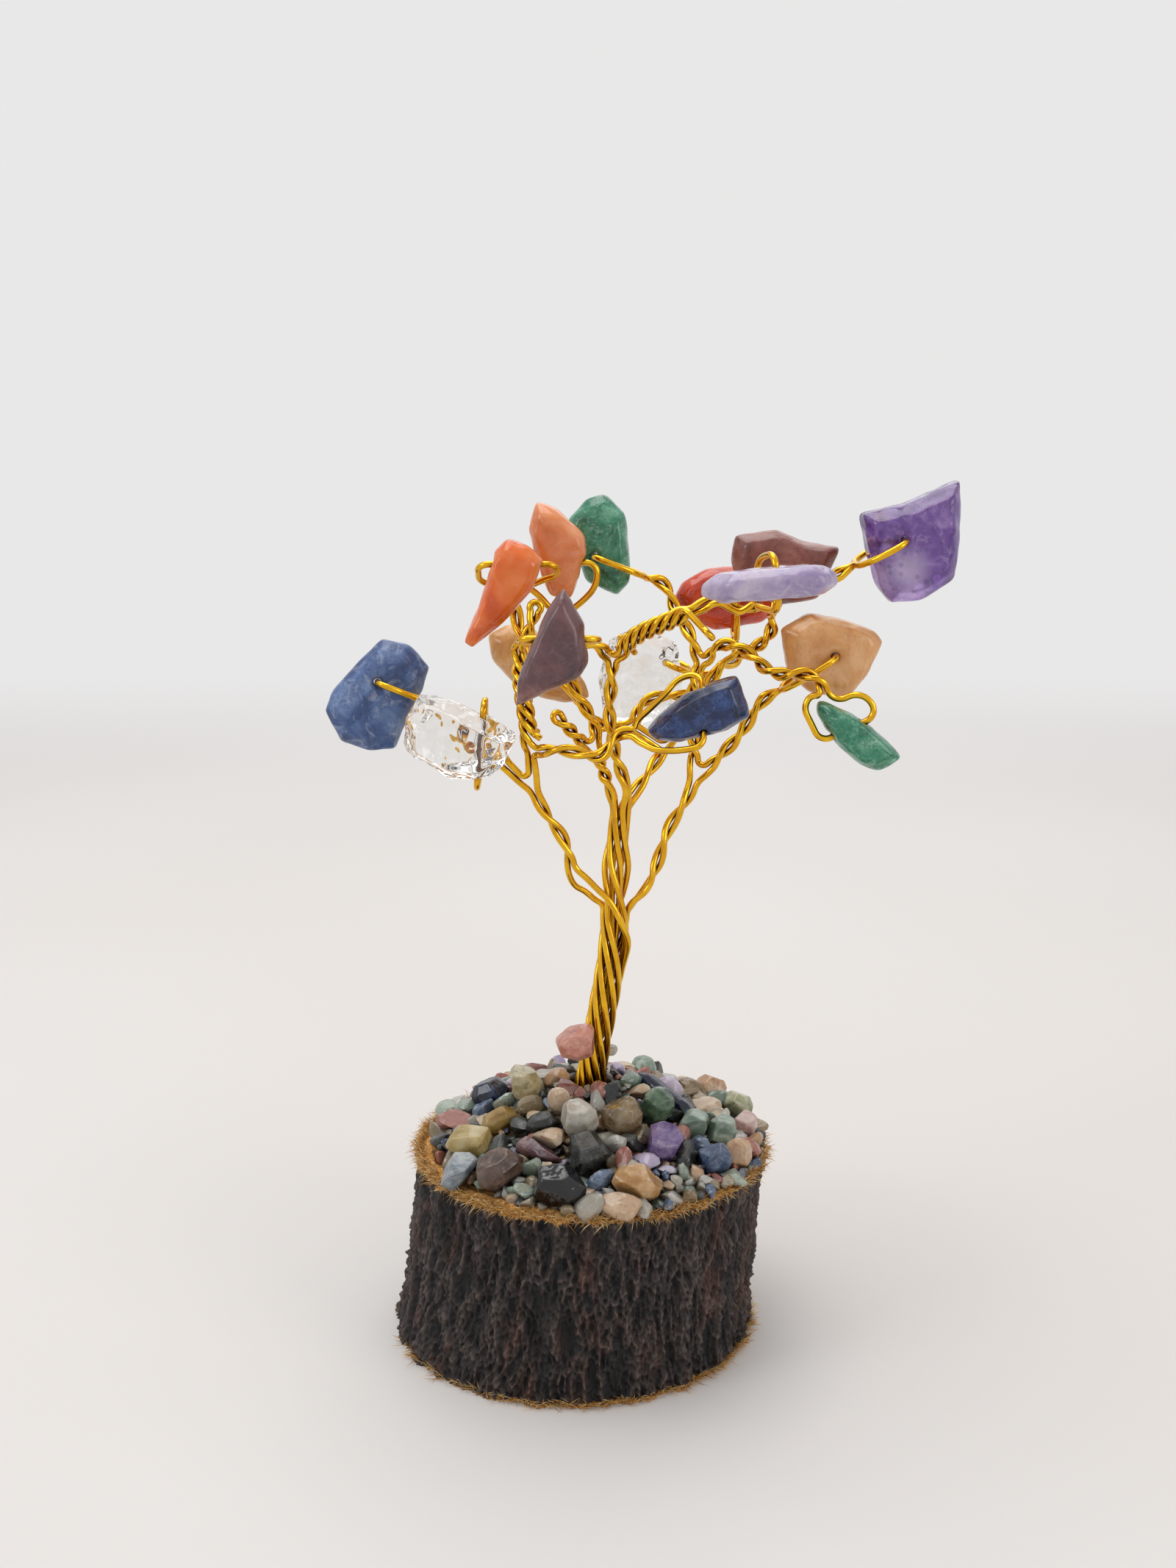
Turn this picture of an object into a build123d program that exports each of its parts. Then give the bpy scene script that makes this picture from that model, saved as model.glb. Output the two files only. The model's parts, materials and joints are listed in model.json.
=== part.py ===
from build123d import *
from math import atan2, ceil, cos, hypot, pi, radians, sin, sqrt
import os

os.makedirs("parts", exist_ok=True)

# A small wire tree hung with drilled stone chips, standing in a slice of branch.
# +X is right, +Y is away from the front, +Z is up. The origin lies on the log's foot.

# Driving sizes in millimetres
tree_height = 70.0  # the table to the top of the highest stone
log_height = 15.5
log_radius = 14.5  # over the bark at the cut top
log_foot_radius = 14.9
log_waist_radius = 14.2
log_lean = 1.5  # how far the top stands to the right of the foot
bark_thickness = 1.3
wire_diameter = 0.51
strand_gap = 0.09  # clearance between strands that lie side by side
rope_gap = 0.16  # the same in a branch of four strands
twist_pitch = 4.6  # one full turn of a twisted pair
trunk_pitch = 19.0  # one full turn of the trunk's bundle
trunk_slack = 0.05  # how far the outer strands stand off the inner ones
foot_spread = 0.35  # how far the strands part where they enter the glue
fork_length = 0.9  # from a fork to where the twist starts again
crotch_radius = 0.42  # the wire's turn from one branch into the next
leg_rise = 0.9  # a wire's centre above the stone where it turns into the hole
leg_room = 0.80  # a wire's centre off the stone's edge on its way round
leg_step = 0.8  # least distance between the guide points of a leg
loop_end_gap = 1.3  # from a stone's edge to the end of its twisted pair
bare_end_radius = 0.42  # the loop that closes a pair with no stone
cut_end_length = 0.6
approach_length = 1.2  # the last of a pair, straight at its stone
parting_length = 1.25  # from the end of a four-strand branch to where each pair goes on
chip_length = 8.0  # a typical tree chip
hole_diameter = 1.0
drill_length = 24.0  # longer than any chip
glue_height = 5.3  # the glue mound at the trunk, above the cut top
glue_edge_height = 0.5
glue_radius = 12.9
glue_crest_radius = 2.5
socket_depth = 4.0
socket_clearance = 0.25
foot_gap = 0.54  # the wires' lower ends above the floor of the socket
bark_relief = 0.3  # depth of the furrows on each side of the mean surface
seat_gap = 0.1  # a base stone above the glue, at its nearest point
crumb_spacing = 1.65
crumb_radius = 0.72
crumb_height = 1.2
crumb_clearance = 0.1

wire_radius = wire_diameter / 2
strand_spacing = wire_diameter + strand_gap
side_offset = strand_spacing / 2
rope_offset = (wire_diameter + rope_gap) / sqrt(2)
ring_offset = side_offset + strand_spacing + trunk_slack
foot_offset = ring_offset + foot_spread
wrap_offset = ring_offset + strand_spacing
crotch_width = strand_spacing + 2 * crotch_radius
socket_radius = foot_offset + wire_radius + socket_clearance
log_top_share = 0.2214  # the log's height in the tables of places
crown_scale = (tree_height - log_height) / (1 - log_top_share)

# Angles, in degrees where their names say so
quarter_turn = radians(90)
full_turn = radians(360)
rope_step = radians(60)
left_hand = -1  # every pair and the trunk are twisted the same way
pair_degrees = (0, 180)
rope_degrees = (45, 135, -45, -135)
rocking_degrees = (-14, -7, 0, 7, 14)  # a chip's swing and the wire's width beside it
mouth_degrees = 12
nearly_zero = 1e-7
corner_power = 4  # how square a chip's corners are taken to be where a wire passes them
leg_looks = 9  # directions in which a leg looks for its way round a chip
trunk_stations = 8  # stations in a turn of the trunk
trunk_look = 0.002  # share of the trunk that a heading is taken over
rope_drift_share = 0.8
end_drift_share = 0.5  # how much of its twist a strand has at the ends of a branch


# Tree chips. The hole's place is a share of the tree's height. The outline runs round the
# hole and is a share of the chip's length, as the thickness is. The axis points to the
# side that the first strand comes from, and toward points to the end of the twisted pair.
# A chip with no axis of its own is drilled square through its flat faces.
front = (0, -1, 0)
tree_chip_shares = {
    "blue_sodalite_chip": dict(
        hole=(-0.238, 0.014, 0.767), flat=(0.12, -1, 0.10), toward=(0.93, 0, -0.37), thick=0.38,
        outline=[(0.05, 0.43), (0.33, 0.37), (0.52, 0.15), (0.43, -0.10), (0.31, -0.30), (0.17, -0.66),
                 (-0.10, -0.68), (-0.36, -0.58), (-0.53, -0.28), (-0.46, -0.10), (-0.24, 0.14)]),
    "rock_crystal_chip": dict(
        hole=(-0.117, -0.060, 0.716), flat=front, axis=(0.1, 0, 1), toward=(0, 1, 0), thick=0.50,
        outline=[(-0.58, 0.43), (-0.14, 0.30), (0.34, 0.03), (0.22, -0.27), (0.03, -0.40), (-0.29, -0.38),
                 (-0.74, -0.12), (-0.72, 0.15)]),
    "carnelian_chip": dict(
        hole=(-0.081, -0.040, 0.903), flat=front, axis=(1, 0, 0), toward=(0, 0.8, -0.6), thick=0.36,
        outline=[(-0.06, 0.25), (0.16, 0.17), (0.31, 0.05), (0.18, -0.24), (-0.10, -0.56), (-0.40, -0.80),
                 (-0.48, -0.74), (-0.32, -0.35), (-0.18, 0.12)]),
    "orange_aventurine_chip": dict(
        hole=(-0.029, 0.019, 0.901), flat=front, axis=(1, 0, 0), toward=(-0.1, 0, -1), thick=0.36,
        outline=[(-0.25, 0.60), (-0.06, 0.52), (0.22, 0.28), (0.25, 0.10), (0.17, -0.12), (0.10, -0.36),
                 (-0.11, -0.33), (-0.24, -0.02), (-0.34, 0.34)]),
    "green_aventurine_chip": dict(
        hole=(0.009, 0.072, 0.904), flat=(-0.10, -1, 0.08), toward=(0.93, 0, -0.37), thick=0.36,
        outline=[(0.09, 0.62), (0.30, 0.43), (0.33, 0.12), (0.34, -0.24), (0.22, -0.39), (-0.09, -0.24),
                 (-0.22, 0.06), (-0.28, 0.38), (-0.08, 0.58)]),
    "brown_jasper_chip": dict(
        hole=(-0.027, -0.129, 0.832), flat=front, axis=(1, 0, 0), toward=(0.05, 0.95, -0.2), thick=0.40,
        outline=[(0.02, 0.47), (0.20, 0.14), (0.24, -0.22), (0.15, -0.36), (-0.20, -0.52), (-0.43, -0.62),
                 (-0.41, -0.38), (-0.27, -0.03), (-0.14, 0.26)]),
    "peach_aventurine_chip": dict(
        hole=(-0.051, 0.080, 0.774), flat=(0.10, -1, 0.12), toward=(0.7, 0, -0.71), thick=0.36,
        outline=[(-0.57, 0.35), (-0.53, 0.09), (-0.30, -0.18), (0.00, -0.31), (0.22, -0.35), (0.46, -0.30),
                 (0.42, -0.16), (0.26, 0.13), (-0.12, 0.42), (-0.37, 0.45)]),
    "clear_quartz_chip": dict(
        hole=(0.092, 0.123, 0.778), flat=front, toward=(0.93, 0, -0.37), thick=0.42,
        outline=[(-0.57, 0.27), (-0.19, 0.33), (0.12, 0.18), (0.19, -0.23), (0.06, -0.64), (-0.26, -0.77),
                 (-0.61, -0.66), (-0.70, -0.20)]),
    "pale_amethyst_chip": dict(
        hole=(0.194, -0.143, 0.891), flat=(-0.09, 0.05, 1), toward=(-0.25, 0.87, -0.42), thick=0.28,
        outline=[(-0.70, -0.05), (-0.45, -0.30), (0.00, -0.36), (0.40, -0.30), (0.56, -0.04), (0.42, 0.26),
                 (0.05, 0.34), (-0.42, 0.26)]),
    "red_jasper_chip": dict(
        hole=(0.213, 0.026, 0.871), flat=(-0.08, -1, 0), toward=(-0.15, 0, -1), thick=0.40,
        outline=[(-0.42, 0.52), (-0.02, 0.58), (0.26, 0.46), (0.60, 0.41), (0.52, 0.20), (0.40, -0.08),
                 (0.03, -0.16), (-0.36, 0.00), (-0.47, 0.28)]),
    "red_carnelian_chip": dict(
        hole=(0.170, 0.094, 0.858), flat=(0, -1, 0.08), toward=(0.05, 0, -1), thick=0.38,
        outline=[(-0.61, -0.01), (-0.52, 0.14), (-0.27, 0.27), (0.07, 0.30), (0.47, 0.11), (0.51, -0.11),
                 (0.29, -0.27), (-0.20, -0.36), (-0.50, -0.21)]),
    "amethyst_chip": dict(
        hole=(0.342, -0.012, 0.928), flat=(0.06, -1, 0), toward=(-0.87, 0, -0.5), thick=0.50,
        outline=[(-0.39, 0.25), (0.03, 0.34), (0.56, 0.58), (0.57, -0.04), (0.52, -0.38), (0.21, -0.58),
                 (-0.07, -0.60), (-0.20, -0.44), (-0.31, -0.12)]),
    "peach_moonstone_chip": dict(
        hole=(0.274, 0.009, 0.797), flat=(0.08, -1, 0.08), toward=(-0.83, 0, -0.55), thick=0.38,
        outline=[(-0.50, 0.27), (-0.24, 0.42), (0.08, 0.37), (0.42, 0.25), (0.51, 0.14), (0.37, -0.16),
                 (0.16, -0.41), (-0.20, -0.37), (-0.44, -0.18)]),
    "small_green_chip": dict(
        hole=(0.284, -0.066, 0.726), flat=front, axis=(0.9, 0, 0.43), toward=(-0.55, 0.1, 0.83),
        thick=0.34,
        outline=[(-0.31, 0.27), (-0.24, 0.27), (0.13, 0.09), (0.39, -0.12), (0.52, -0.27), (0.30, -0.40),
                 (0.13, -0.35), (-0.14, -0.12), (-0.30, 0.16)]),
    "lapis_chip": dict(
        hole=(0.124, -0.073, 0.751), flat=front, axis=(0, -0.62, -0.78), toward=(-0.94, 0.06, -0.34),
        thick=0.46,
        outline=[(-0.53, -0.22), (-0.38, -0.05), (-0.15, 0.13), (0.12, 0.25), (0.33, 0.31), (0.41, 0.10),
                 (0.45, -0.08), (0.22, -0.22), (-0.23, -0.33), (-0.46, -0.30)]),
}
# Each chip's heights through its thickness, with the size of its outline there
chip_level_shares = [(-0.50, 0.72), (-0.22, 1.0), (0.18, 1.0), (0.50, 0.76)]

# The five wires, as shares of the tree's height. Each leaves the trunk as a pair of
# strands. A branch ends in a stone, in two more branches or in a bare loop. A branch of
# four strands holds a binding wire too, and both pairs go on from its end.
left_limb_shares = dict(
    route=[(-0.020, -0.011, 0.564), (-0.032, -0.014, 0.598), (-0.046, -0.018, 0.620),
           (-0.060, -0.022, 0.646)],
    forks=[
        dict(route=[(-0.093, -0.017, 0.678)], forks=[
            dict(route=[(-0.118, 0.018, 0.682), (-0.140, 0.018, 0.702)], chip="blue_sodalite_chip"),
            dict(route=[(-0.102, 0.012, 0.706)], chip="rock_crystal_chip")]),
        dict(route=[(-0.064, -0.032, 0.694)], forks=[
            dict(route=[(-0.067, -0.040, 0.730), (-0.072, -0.038, 0.762), (-0.074, -0.028, 0.792)],
                 binding=("left_binding_wire", dict(route=[(-0.066, -0.056, 0.826), (-0.058, -0.062, 0.852)])),
                 then=dict(route=[(-0.078, 0.008, 0.826)], chip="carnelian_chip")),
            dict(route=[(-0.042, -0.052, 0.700), (-0.012, -0.066, 0.700), (0.014, -0.073, 0.698)],
                 chip="lapis_chip")])])
centre_left_shares = dict(
    route=[(0.023, 0.006, 0.650), (0.012, 0.012, 0.680)],
    forks=[
        dict(route=[(-0.030, 0.002, 0.724)]),
        dict(route=[(0.008, 0.024, 0.712), (-0.008, 0.026, 0.744), (-0.024, 0.022, 0.780),
                    (-0.032, 0.020, 0.806)], chip="orange_aventurine_chip")])
centre_shares = dict(
    route=[(0.041, -0.014, 0.660), (0.030, -0.020, 0.694), (0.024, -0.026, 0.734), (0.026, -0.036, 0.774),
           (0.027, -0.044, 0.800)],
    forks=[
        dict(route=[(0.012, -0.058, 0.816)], chip="brown_jasper_chip"),
        dict(route=[(0.048, -0.060, 0.824), (0.078, -0.080, 0.842), (0.096, -0.090, 0.851)],
             binding=("front_binding_wire", dict(route=[(0.122, -0.116, 0.840)])),
             then=dict(route=[(0.134, -0.092, 0.870)], forks=[
                 dict(route=[(0.160, -0.082, 0.858)], chip="pale_amethyst_chip"),
                 dict(route=[(0.156, -0.066, 0.878), (0.190, -0.044, 0.886), (0.222, -0.034, 0.886),
                             (0.250, -0.028, 0.884)], chip="amethyst_chip")]))])
back_shares = dict(
    route=[(0.058, 0.016, 0.646), (0.076, 0.034, 0.668), (0.090, 0.050, 0.684)],
    forks=[
        dict(route=[(0.072, 0.064, 0.694), (0.052, 0.072, 0.706)], forks=[
            dict(route=[(0.034, 0.076, 0.704)], chip="peach_aventurine_chip"),
            dict(route=[(0.062, 0.080, 0.730), (0.100, 0.078, 0.742), (0.134, 0.090, 0.742)],
                 chip="clear_quartz_chip")]),
        dict(route=[(0.116, 0.052, 0.726), (0.146, 0.044, 0.772), (0.156, 0.046, 0.788)], forks=[
            dict(route=[(0.162, 0.072, 0.782)], chip="red_carnelian_chip"),
            dict(route=[(0.182, 0.036, 0.800)], chip="red_jasper_chip")])])
right_limb_shares = dict(
    route=[(0.073, 0.004, 0.540), (0.084, 0.006, 0.572), (0.094, 0.010, 0.600), (0.110, 0.013, 0.626),
           (0.121, 0.015, 0.650)],
    forks=[
        dict(route=[(0.122, 0.024, 0.690), (0.119, 0.029, 0.730), (0.122, 0.031, 0.768),
                    (0.128, 0.032, 0.786)],
             forks=[
                 dict(route=[(0.114, 0.044, 0.822), (0.100, 0.060, 0.846)], chip="green_aventurine_chip"),
                 dict(route=[(0.154, 0.010, 0.810), (0.182, -0.016, 0.800), (0.206, -0.042, 0.784)],
                      chip="small_green_chip")]),
        dict(route=[(0.147, 0.014, 0.678), (0.176, 0.011, 0.712)],
             chip="peach_moonstone_chip")])
wire_routes = {
    "left_limb_wire": left_limb_shares,
    "centre_left_wire": centre_left_shares,
    "centre_wire": centre_shares,
    "back_wire": back_shares,
    "right_limb_wire": right_limb_shares,
}

# The trunk's centre line, then each wire's two strands in it. The degrees are where a
# strand lies round the trunk at the limbs and at its own top. The last two values are the
# share of the trunk where it leaves and the places that it passes on its way out.
trunk_shares = [(0.001, 0, 0.243), (0.004, 0, 0.300), (0.013, 0, 0.360),
                (0.021, 0, 0.406), (0.027, 0, 0.443), (0.030, 0, 0.474), (0.032, 0, 0.529),
                (0.034, 0, 0.586), (0.038, 0, 0.623)]
limb_share = 0.76
crown_share = 0.98
gather_shares = (0.15, 0.35)
turn_shares = (0.70, 0.80)
wrap_shares = (0.58, 0.68)
core_spread_shares = (0.78, 0.88)
ring_close_shares = (0.84, 0.95)
trunk_strands = {
    "left_limb_wire": (
        (161, 161, "ring", 0.735, [(0.002, 0.006, 0.520), (-0.018, -0.002, 0.538)]),
        (250, 262, "wrap", 0.750, [(0.003, -0.016, 0.541)])),
    "centre_left_wire": ((300, 300, "ring", crown_share, []), (0, 0, "core", crown_share, [])),
    "centre_wire": ((62, 60, "ring", crown_share, []), (110, 120, "ring", crown_share, [])),
    "back_wire": ((180, 180, "core", crown_share, []), (205, 240, "ring", crown_share, [])),
    "right_limb_wire": ((-19, -19, "ring", 0.725, []), (19, 19, "ring", 0.68, [])),
}


def place(shares):
    """A place in the crown, from shares of the tree's height. It stays put above the log's top."""
    x, y, z = shares
    return Vector(x, y, z - log_top_share) * crown_scale + Vector(0, 0, log_height)


def across(vector, axis):
    """The direction of a vector once its part along an axis is taken away."""
    return (vector - axis * vector.dot(axis)).normalized()


def ease(value, limits):
    """A smooth step from 0 to 1 between two values."""
    low, high = limits
    share = min(max((value - low) / (high - low), 0), 1)
    return share * share * (3 - 2 * share)


def chip_data(row):
    """A tree chip's real sizes, plane and hole axis."""
    flat = Vector(*row["flat"]).normalized()
    return dict(
        plane=Plane(origin=place(row["hole"]), x_dir=across(Vector(1, 0, 0), flat), z_dir=flat),
        axis=Vector(*row.get("axis", row["flat"])).normalized(),
        toward=Vector(*row["toward"]).normalized(),
        thick=row["thick"] * chip_length,
        outline=[(x * chip_length, y * chip_length) for x, y in row["outline"]],
    )


tree_chips = {name: chip_data(row) for name, row in tree_chip_shares.items()}


def reach(chip, direction):
    """How far a chip reaches from the middle of its hole along a direction."""
    flat = chip["plane"]
    x, y, z = direction.dot(flat.x_dir), direction.dot(flat.y_dir), direction.dot(flat.z_dir)
    face = abs(z) / (chip["thick"] / 2)
    edge = nearly_zero
    corners = chip["outline"]
    for (x0, y0), (x1, y1) in zip(corners, corners[1:] + corners[:1]):
        slope = x * (y1 - y0) - y * (x1 - x0)
        if abs(slope) > nearly_zero:
            distance = (x0 * (y1 - y0) - y0 * (x1 - x0)) / slope
            along = (x0 * y - y0 * x) / slope
            if distance > 0 and -nearly_zero <= along <= 1 + nearly_zero:
                edge = max(edge, 1 / distance)
    return 1 / (face ** corner_power + edge ** corner_power) ** (1 / corner_power)


def rocking_reach(chip, direction):
    """The furthest a chip reaches along a direction while it rocks on its wire."""
    axis = Axis((0, 0, 0), chip["axis"])
    return max(reach(chip, direction.rotate(axis, angle)) for angle in rocking_degrees)


def mouth_height(chip, axis):
    """How far out the highest point of the hole's edge lies."""
    side = across(chip["toward"], axis)
    tilt = radians(mouth_degrees)
    tilts = [side, side * -1, axis.cross(side), side.cross(axis)]
    return max(reach(chip, axis * cos(tilt) + way * sin(tilt)) * cos(tilt) for way in tilts)


def pair_end(chip):
    """Where the twisted pair stops and its two legs part round the chip."""
    return chip["toward"] * (rocking_reach(chip, chip["toward"]) + loop_end_gap)


def pair_stations(points, first_side, last_side, step_angle=quarter_turn):
    """Stations along a branch: centre, heading, side and turned angle. The rate of turn comes too."""
    line = Edge.make_spline(points)
    heading = line.tangent_at(0)
    side = across(first_side, heading)
    steps = 60
    sides = [side]
    for step in range(1, steps + 1):
        heading = line.tangent_at(step / steps)
        side = across(side, heading)
        sides.append(side)
    wanted = across(last_side, heading)
    closing = atan2(wanted.dot(heading.cross(side)), wanted.dot(side))
    turns = round(line.length / twist_pitch - left_hand * closing / full_turn)
    total = closing + left_hand * full_turn * turns
    count = max(2, ceil(abs(total) / step_angle), ceil(3 * line.length / twist_pitch))
    rows = []
    for index in range(count + 1):
        share = index / count
        heading = line.tangent_at(share)
        side = across(sides[round(share * steps)], heading)
        rows.append((line.position_at(share), heading, side, total * share))
    return rows, total / line.length


def strand(stations, angle, offset):
    """One strand of a branch, as points and headings. It runs straight at both ends."""
    rows, rate = stations
    path = []
    for index, (centre, heading, side, turned) in enumerate(rows):
        cross_side = heading.cross(side)
        now = turned + radians(angle)
        outward = side * cos(now) + cross_side * sin(now)
        drift = (cross_side * cos(now) - side * sin(now)) * offset * rate
        if index in (0, len(rows) - 1):
            drift = drift * (end_drift_share if offset == side_offset else rope_drift_share)
        path.append((centre + outward * offset, (heading + drift).normalized()))
    return path


def backwards(path):
    return [(point, heading * -1) for point, heading in reversed(path)]


def guided(points, first, last):
    """Rows for points that lie between two others, headed along the circle through each three."""
    rows = []
    for before, point, after in zip([first] + points[:-1], points, points[1:] + [last]):
        come, go = point - before, after - point
        heading = come.normalized() * go.length + go.normalized() * come.length
        rows.append((point, heading.normalized()))
    return rows


def outer_chain(spots):
    """The spots that a tight string round the outside would touch."""
    chain = []
    for x, y in spots:
        while len(chain) > 1:
            (x0, y0), (x1, y1) = chain[-2:]
            if (x1 - x0) * (y - y1) - (y1 - y0) * (x - x1) > 0:
                break
            chain.pop()
        chain.append((x, y))
    return chain


def chip_leg(chip, axis, start):
    """A leg of a chip's loop, from the end of its twisted pair into the mouth of the hole."""
    origin = chip["plane"].origin
    side = across(chip["toward"], axis)
    mouth = mouth_height(chip, axis)
    end = pair_end(chip)
    spots = [(end.dot(side), end.dot(axis)), (leg_rise, mouth + leg_rise)]
    low, high = (atan2(y, x) for x, y in spots)
    between = []
    for step in range(1, leg_looks):
        now = low + (high - low) * step / leg_looks
        distance = rocking_reach(chip, side * cos(now) + axis * sin(now)) + leg_room
        between.append((distance * cos(now), distance * sin(now)))
    chain = outer_chain(spots[:1] + between + spots[1:])
    points = [origin + side * x + axis * y for x, y in chain]
    bend = points.pop()
    kept = [start]
    for point in points[1:]:
        if (point - kept[-1]).length > leg_step and (point - bend).length > leg_step:
            kept.append(point)
    mouth_row = (origin + axis * mouth, axis * -1)
    return guided(kept[1:], start, bend) + [(bend, side * -1), mouth_row]


bindings = {}


def carry_on(branch, out, back):
    """A branch that goes on from the ends of two strands."""
    (out_end, out_heading), (back_end, back_heading) = out[-1], back[-1]
    middle = (out_end + back_end) / 2
    heading = (out_heading + back_heading).normalized()
    way = (place(branch["route"][0]) - middle).normalized()
    return grow(branch, middle + (heading * 2 + way).normalized() * parting_length, out_end - back_end)


def cut_end(path, centre):
    """A binding strand with its cut end bent out from the rope."""
    point, heading = path[1]
    tip = point + (across(point - centre, heading) - heading) * cut_end_length
    return [(tip, (point - tip).normalized())] + path[1:]


def grow(branch, start, first_side):
    """The path of a wire out along a branch and back again."""
    points = [start] + [place(shares) for shares in branch["route"]]
    if "binding" in branch:
        name, tail = branch["binding"]
        ahead = branch["then"]
        ways = [(place(side["route"][0]) - points[-1]).normalized() for side in (ahead, tail)]
        last_side = (ways[0] - ways[1]).cross(points[-1] - points[-2])
        stations = pair_stations(points, first_side, last_side, rope_step)
        out, back, up, down = (strand(stations, angle, rope_offset) for angle in rope_degrees)
        centre = stations[0][1][0]
        bindings[name] = cut_end(up, centre) + carry_on(tail, up, down) + backwards(cut_end(down, centre))
        return out + carry_on(ahead, out, back) + backwards(back)
    if "chip" in branch:
        chip = tree_chips[branch["chip"]]
        end = chip["plane"].origin + pair_end(chip)
        points += [end + chip["toward"] * approach_length, end]
        stations = pair_stations(points, first_side, chip["axis"])
        out, back = (strand(stations, angle, side_offset) for angle in pair_degrees)
        middle = chip_leg(chip, chip["axis"], out[-1][0])
        middle += backwards(chip_leg(chip, chip["axis"] * -1, back[-1][0]))
    elif "forks" in branch:
        fork = points[-1]
        ways = [(place(side["route"][0]) - fork).normalized() for side in branch["forks"]]
        spread = ways[0] - ways[1]
        gap = max(fork_length, crotch_width / spread.length)
        points[-1] = fork + (points[-2] - fork).normalized() * (fork_length / 2)
        stations = pair_stations(points, first_side, spread)
        out, back = (strand(stations, angle, side_offset) for angle in pair_degrees)
        middle = []
        for side, way in zip(branch["forks"], ways):
            middle += grow(side, fork + way * gap, spread)
    else:
        stations = pair_stations(points, first_side, first_side)
        out, back = (strand(stations, angle, side_offset) for angle in pair_degrees)
        centre, heading = stations[0][-1][:2]
        side = (out[-1][0] - back[-1][0]).normalized()
        middle = [(centre + (heading + side) * bare_end_radius, heading),
                  (centre + heading * (2 * bare_end_radius), side * -1),
                  (centre + (heading - side) * bare_end_radius, heading * -1)]
    return out + middle + backwards(back)


trunk_x = place(trunk_shares[0]).X
trunk_foot = Vector(trunk_x, 0, log_height - socket_depth + foot_gap)
trunk_line = Edge.make_spline([trunk_foot] + [place(shares) for shares in trunk_shares])


def trunk_point(share, strand_row):
    """Where a strand lies in the trunk, at a share of the trunk's length."""
    angle, top_angle, kind, top, _ = strand_row
    heading = trunk_line.tangent_at(share)
    side = across(Vector(1, 0, 0), heading)
    turning = ease(share, turn_shares)
    offset = side_offset if kind == "core" else ring_offset
    if kind == "wrap":
        turning = ease(share, wrap_shares)
        offset += (wrap_offset - offset) * turning
    elif kind == "core":
        offset += (strand_spacing - offset) * ease(share, core_spread_shares)
    elif top == crown_share:
        offset += (strand_spacing - offset) * ease(share, ring_close_shares)
    if kind != "core":
        offset += foot_spread * (1 - ease(share, gather_shares))
    twist = left_hand * (share - limb_share) * trunk_line.length / trunk_pitch * full_turn
    now = radians(angle + (top_angle - angle) * turning) + twist
    return trunk_line.position_at(share) + (side * cos(now) + heading.cross(side) * sin(now)) * offset


def trunk_strand(strand_row, goal):
    """A strand from its foot to where its pair starts."""
    top = strand_row[3]
    count = ceil(top * trunk_line.length / trunk_pitch * trunk_stations)
    path = []
    for index in range(count + 1):
        share = top * index / count
        ahead = trunk_point(share + trunk_look, strand_row)
        behind = trunk_point(max(share - trunk_look, 0), strand_row)
        path.append((trunk_point(share, strand_row), (ahead - behind).normalized()))
    return path + guided([place(shares) for shares in strand_row[4]], path[-1][0], goal)


def wire_path(name):
    """The whole of a wire, from one foot up through its stones and down to the other foot."""
    branch = wire_routes[name]
    start = place(branch["route"][0])
    first, last = (trunk_strand(row, start) for row in trunk_strands[name])
    crown = dict(branch, route=branch["route"][1:])
    return first + grow(crown, start, first[-1][0] - last[-1][0]) + backwards(last)


def wire_line(path):
    """Tangent arcs along a path, two from each of its points to the next."""
    arcs = []
    for (start, leaving), (end, arriving) in zip(path, path[1:]):
        chord = end - start
        pull = chord.dot(leaving + arriving)
        bend = 2 * (1 - leaving.dot(arriving))
        handle = chord.dot(chord) / (2 * pull)
        if bend > nearly_zero:
            handle = (sqrt(pull * pull + bend * chord.dot(chord)) - pull) / bend
        first_corner = start + leaving * handle
        last_corner = end - arriving * handle
        joint = (first_corner + last_corner) / 2
        for tail, tip, heading in ((start, joint, leaving), (joint, end, last_corner - first_corner)):
            if heading.normalized().cross((tip - tail).normalized()).length < nearly_zero:
                arcs.append(Edge.make_line(tail, tip))
            else:
                arcs.append(Edge.make_tangent_arc(tail, heading, tip))
    return Wire(arcs)


def stone_loft(plane, outline, levels, height):
    """A faceted stone, through its outline drawn at its own size on each level."""
    middle = Vector(*[sum(values) / len(outline) for values in zip(*outline)])
    sections = []
    for level, size in levels:
        with BuildSketch(plane.offset(level * height)) as section:
            Polygon(*[middle + (Vector(x, y) - middle) * size for x, y in outline], align=None)
        sections.append(section.sketch)
    loft(sections, ruled=True)


# The wires
wires = {name: wire_path(name) for name in wire_routes}
wires.update(bindings)
for name, path in wires.items():
    with BuildPart() as wire:
        with BuildSketch(Plane(origin=path[0][0], z_dir=path[0][1])):
            Circle(wire_radius)
        sweep(path=wire_line(path))
    wire.part.label = name
    export_step(wire.part, f"parts/{name}.step")

# The drilled chips on the tree
for name, chip in tree_chips.items():
    with BuildPart() as stone:
        stone_loft(chip["plane"], chip["outline"], chip_level_shares, chip["thick"])
        with Locations(Plane(origin=chip["plane"].origin, z_dir=chip["axis"])):
            Cylinder(hole_diameter / 2, drill_length, mode=Mode.SUBTRACT)
    stone.part.label = name
    export_step(stone.part, f"parts/{name}.step")

# The slice of branch. Each level has its height, how far it leans to the right and the
# radius over its bark.
log_levels = [(0, -0.85, log_foot_radius), (0.20, -0.55, (log_foot_radius + log_waist_radius) / 2),
              (0.77, -0.05, log_waist_radius), (1, 0.20, log_radius)]
bark_corners = 72
wood_corners = 36
ridge_turns = (23, 31)  # two waves round the bark that together look irregular
standing = (Align.CENTER, Align.CENTER, Align.MIN)


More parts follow.
